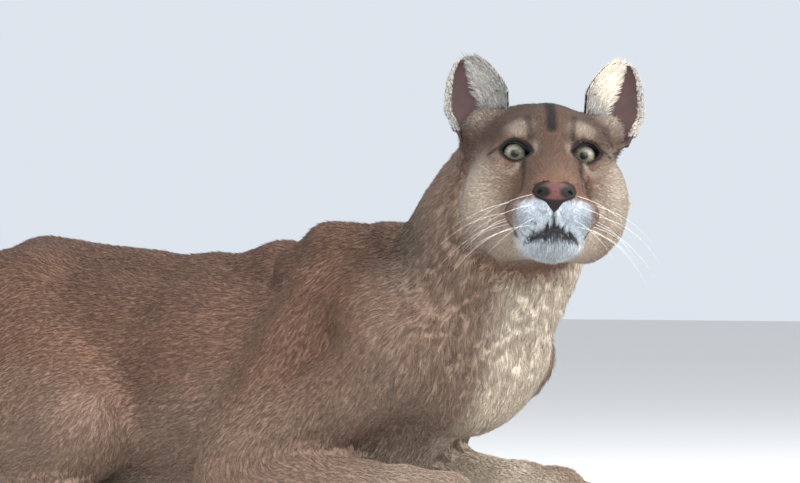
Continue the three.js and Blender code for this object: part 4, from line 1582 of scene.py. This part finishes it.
def ear_frame(t, s, back):
    here = ear_point(t, s, back)
    up = ear_point(t + 0.02, s, back) - here
    over = ear_point(t, s + 0.02, back) - here
    normal = np.cross(over, up)
    normal /= np.linalg.norm(normal)
    if back == 0:
        normal = normal * np.sign(normal @ ear_facing)
    else:
        normal = -normal * np.sign(normal @ ear_facing)
    return here, normal, up / np.linalg.norm(up), over / np.linalg.norm(over)


def ear_tufts(side, kind, count):
    rng = np.random.default_rng(21)
    rows = []
    for _ in range(count):
        if kind == "back":
            t = 0.02 + 0.93 * rng.random()
            s = rng.uniform(-0.90, 0.90)
            here, normal, up, over = ear_frame(t, s, 1)
            rows.append((here, normal, up, rng.normal(6.5, 1.2), 1.3, (1.0, 1.4)))
        elif kind == "rim":
            t = 0.02 + 0.93 * rng.random()
            s = rng.choice([-1, 1]) * (1 - 0.17 * rng.random() ** 1.6)
            here, normal, up, over = ear_frame(t, s, rng.choice([0, 0, 1]))
            out = over * np.sign(s)
            way = up * 0.75 + out * (0.85 if s < 0 else 0.5) + ear_facing * rng.normal(0.1, 0.2)
            rows.append((here, normal, way / np.linalg.norm(way), rng.normal(5, 1.1), 0.9, (0.8, 1.1)))
        else:
            # Long hair from the edge that is nearer the crown, lying up and over the cup.
            t = 0.10 + 0.76 * rng.random()
            s = -0.98 + 0.86 * rng.random() ** 1.3
            here, normal, up, over = ear_frame(t, s, 0)
            way = up * rng.normal(0.84, 0.14) + over * rng.normal(0.45, 0.34) + ear_facing * 0.12
            rows.append((here, normal, way / np.linalg.norm(way), rng.normal(17, 4), 0.95, (2.0, 2.6)))
    root, normal, way, length, width, rise = (np.array(column, float) for column in zip(*rows))
    flip = np.array([1, 1 if side is left else -1, 1])
    lie = way - (way * normal).sum(1)[:, None] * normal
    lie /= np.linalg.norm(lie, axis=1)[:, None]
    points = blades(root, normal, lie, length, width * np.clip(rng.normal(1, 0.2, count), 0.5, 2), rise)
    points = from_head((points * flip).reshape(-1, 3)).reshape(-1, 7, 3)
    if side is right:
        points = points[:, [1, 0, 2, 4, 3, 5, 6]]
    body_root = from_head(root * flip)
    spread = np.stack([(root @ ear_up) / 160 + 0.5, (root @ ear_across) / 160 + 0.5], 1)
    return points, body_root, np.clip(rng.normal(1, 0.20, count), 0.5, 1.6), spread


for name, side in SIDES.items():
    for kind, count, material in (
        ("back", EAR_BACK_TUFTS, ear_back_fur),
        ("rim", EAR_RIM_TUFTS, ear_pale_hair),
        ("inner", EAR_INNER_TUFTS, ear_pale_hair),
    ):
        points, ear_root, ear_tint, spread = ear_tufts(side, kind, count)
        tuft_piece(
            f"ear_{kind}_hair_{name}", points, ear_root, "ear_fur", material, ear_tint, spread
        )

# %% [markdown]
# ## Whiskers
# Long white bristles leave the dark spots on the whisker pads and arch out, back and down. Each is a
# thin tube that tapers to nothing.

# %% Whiskers
WHISKER_RADIUS = 0.20
WHISKER_STEPS = 12


def whiskers(name, side):
    rng = np.random.default_rng(31)
    points, faces = [], []
    for n, root in enumerate(whisker_root):
        if root[1] < 20 or n % 5 == 2:
            continue
        span = rng.uniform(48, 105) * (0.55 + 0.45 * min(1, root[1] / 34))
        out = np.array([-0.12 + rng.normal(0, 0.08), 0.90, -0.26 + rng.normal(0, 0.12)])
        out /= np.linalg.norm(out)
        droop = rng.uniform(0.10, 0.30)
        line = []
        for k in range(WHISKER_STEPS + 1):
            t = k / WHISKER_STEPS
            bend = np.array([-0.55, -0.16, -droop]) * t * t
            line.append(root - out * 1.5 + span * (out * t + bend))
        radii = [WHISKER_RADIUS * (1 - 0.93 * k / WHISKER_STEPS) for k in range(WHISKER_STEPS + 1)]
        flip = np.array([1, 1 if side is left else -1, 1])
        made, sides = swept("whisker", from_head(np.array(line) * flip), radii, 6)
        offset = sum(len(p) for p in points)
        points.append(made)
        faces += [tuple(offset + v for v in face) for face in sides]
    piece = mesh_piece("whiskers_" + name, to_scene(np.concatenate(points)), faces)
    face_outward(piece)
    shade_smooth(piece)
    put(piece, slot="face_fur", material=bristle)


for name, side in SIDES.items():
    whiskers(name, side)
print(len(whisker_root), "whisker roots on each side")

# %% [markdown]
# ## Floor, light and camera
# The floor is plain and pale. A bright grey surround stands for an overcast sky, with a broad soft light
# above on the camera's right, where the photograph is brighter, and a weaker one on its left. The camera
# stands low and far away.

# %% The floor
clear_selection()
bpy.ops.mesh.primitive_plane_add(size=30)
floor = bpy.context.object
floor.name = "studio_floor"
floor_material, _, floor_shader = new_material("studio_floor")
floor_shader.inputs["Base Color"].default_value = (0.72, 0.71, 0.69, 1)
floor_shader.inputs["Roughness"].default_value = 0.9
floor.data.materials.append(floor_material)

# %% The lights
world = bpy.data.worlds.new("overcast")
bpy.context.scene.world = world
world.use_nodes = True
sky = world.node_tree.nodes["Background"]
sky.inputs["Color"].default_value = (0.86, 0.92, 1.0, 1)
sky.inputs["Strength"].default_value = 0.85


def area_light(name, place, aim, size, power, colour=(1, 1, 1)):
    data = bpy.data.lights.new(name, "AREA")
    data.shape = "RECTANGLE"
    data.size, data.size_y = size
    data.energy = power
    data.color = colour
    lamp = bpy.data.objects.new(name, data)
    bpy.context.scene.collection.objects.link(lamp)
    lamp.location = place
    lamp.rotation_euler = (Vector(aim) - Vector(place)).to_track_quat("-Z", "Y").to_euler()


body_middle = Vector(to_scene([0, 0, 250])[0])
to_camera = Vector(toward)
to_right = Vector(rightward)
area_light(
    "soft_sky",
    body_middle + to_camera * 1.6 + to_right * 1.7 + Vector((0, 0, 2.3)),
    body_middle,
    (5.0, 4.0),
    260,
)
area_light(
    "sky_left",
    body_middle + to_camera * 1.9 - to_right * 1.6 + Vector((0, 0, 2.0)),
    body_middle,
    (3.0, 2.6),
    45,
    (0.93, 0.96, 1.0),
)
bpy.context.scene.view_settings.view_transform = "Standard"

# %% The camera
camera_data = bpy.data.cameras.new("camera")
camera_data.sensor_width = SENSOR_WIDTH
camera_data.lens = FOCAL_PIXELS / PHOTO_WIDTH * SENSOR_WIDTH
camera_data.clip_end = 60
camera = bpy.data.objects.new("camera", camera_data)
bpy.context.scene.collection.objects.link(camera)
camera.location = Vector(to_scene(camera_at)[0])
camera.rotation_euler = (-to_camera).to_track_quat("-Z", "Y").to_euler()
bpy.context.scene.camera = camera
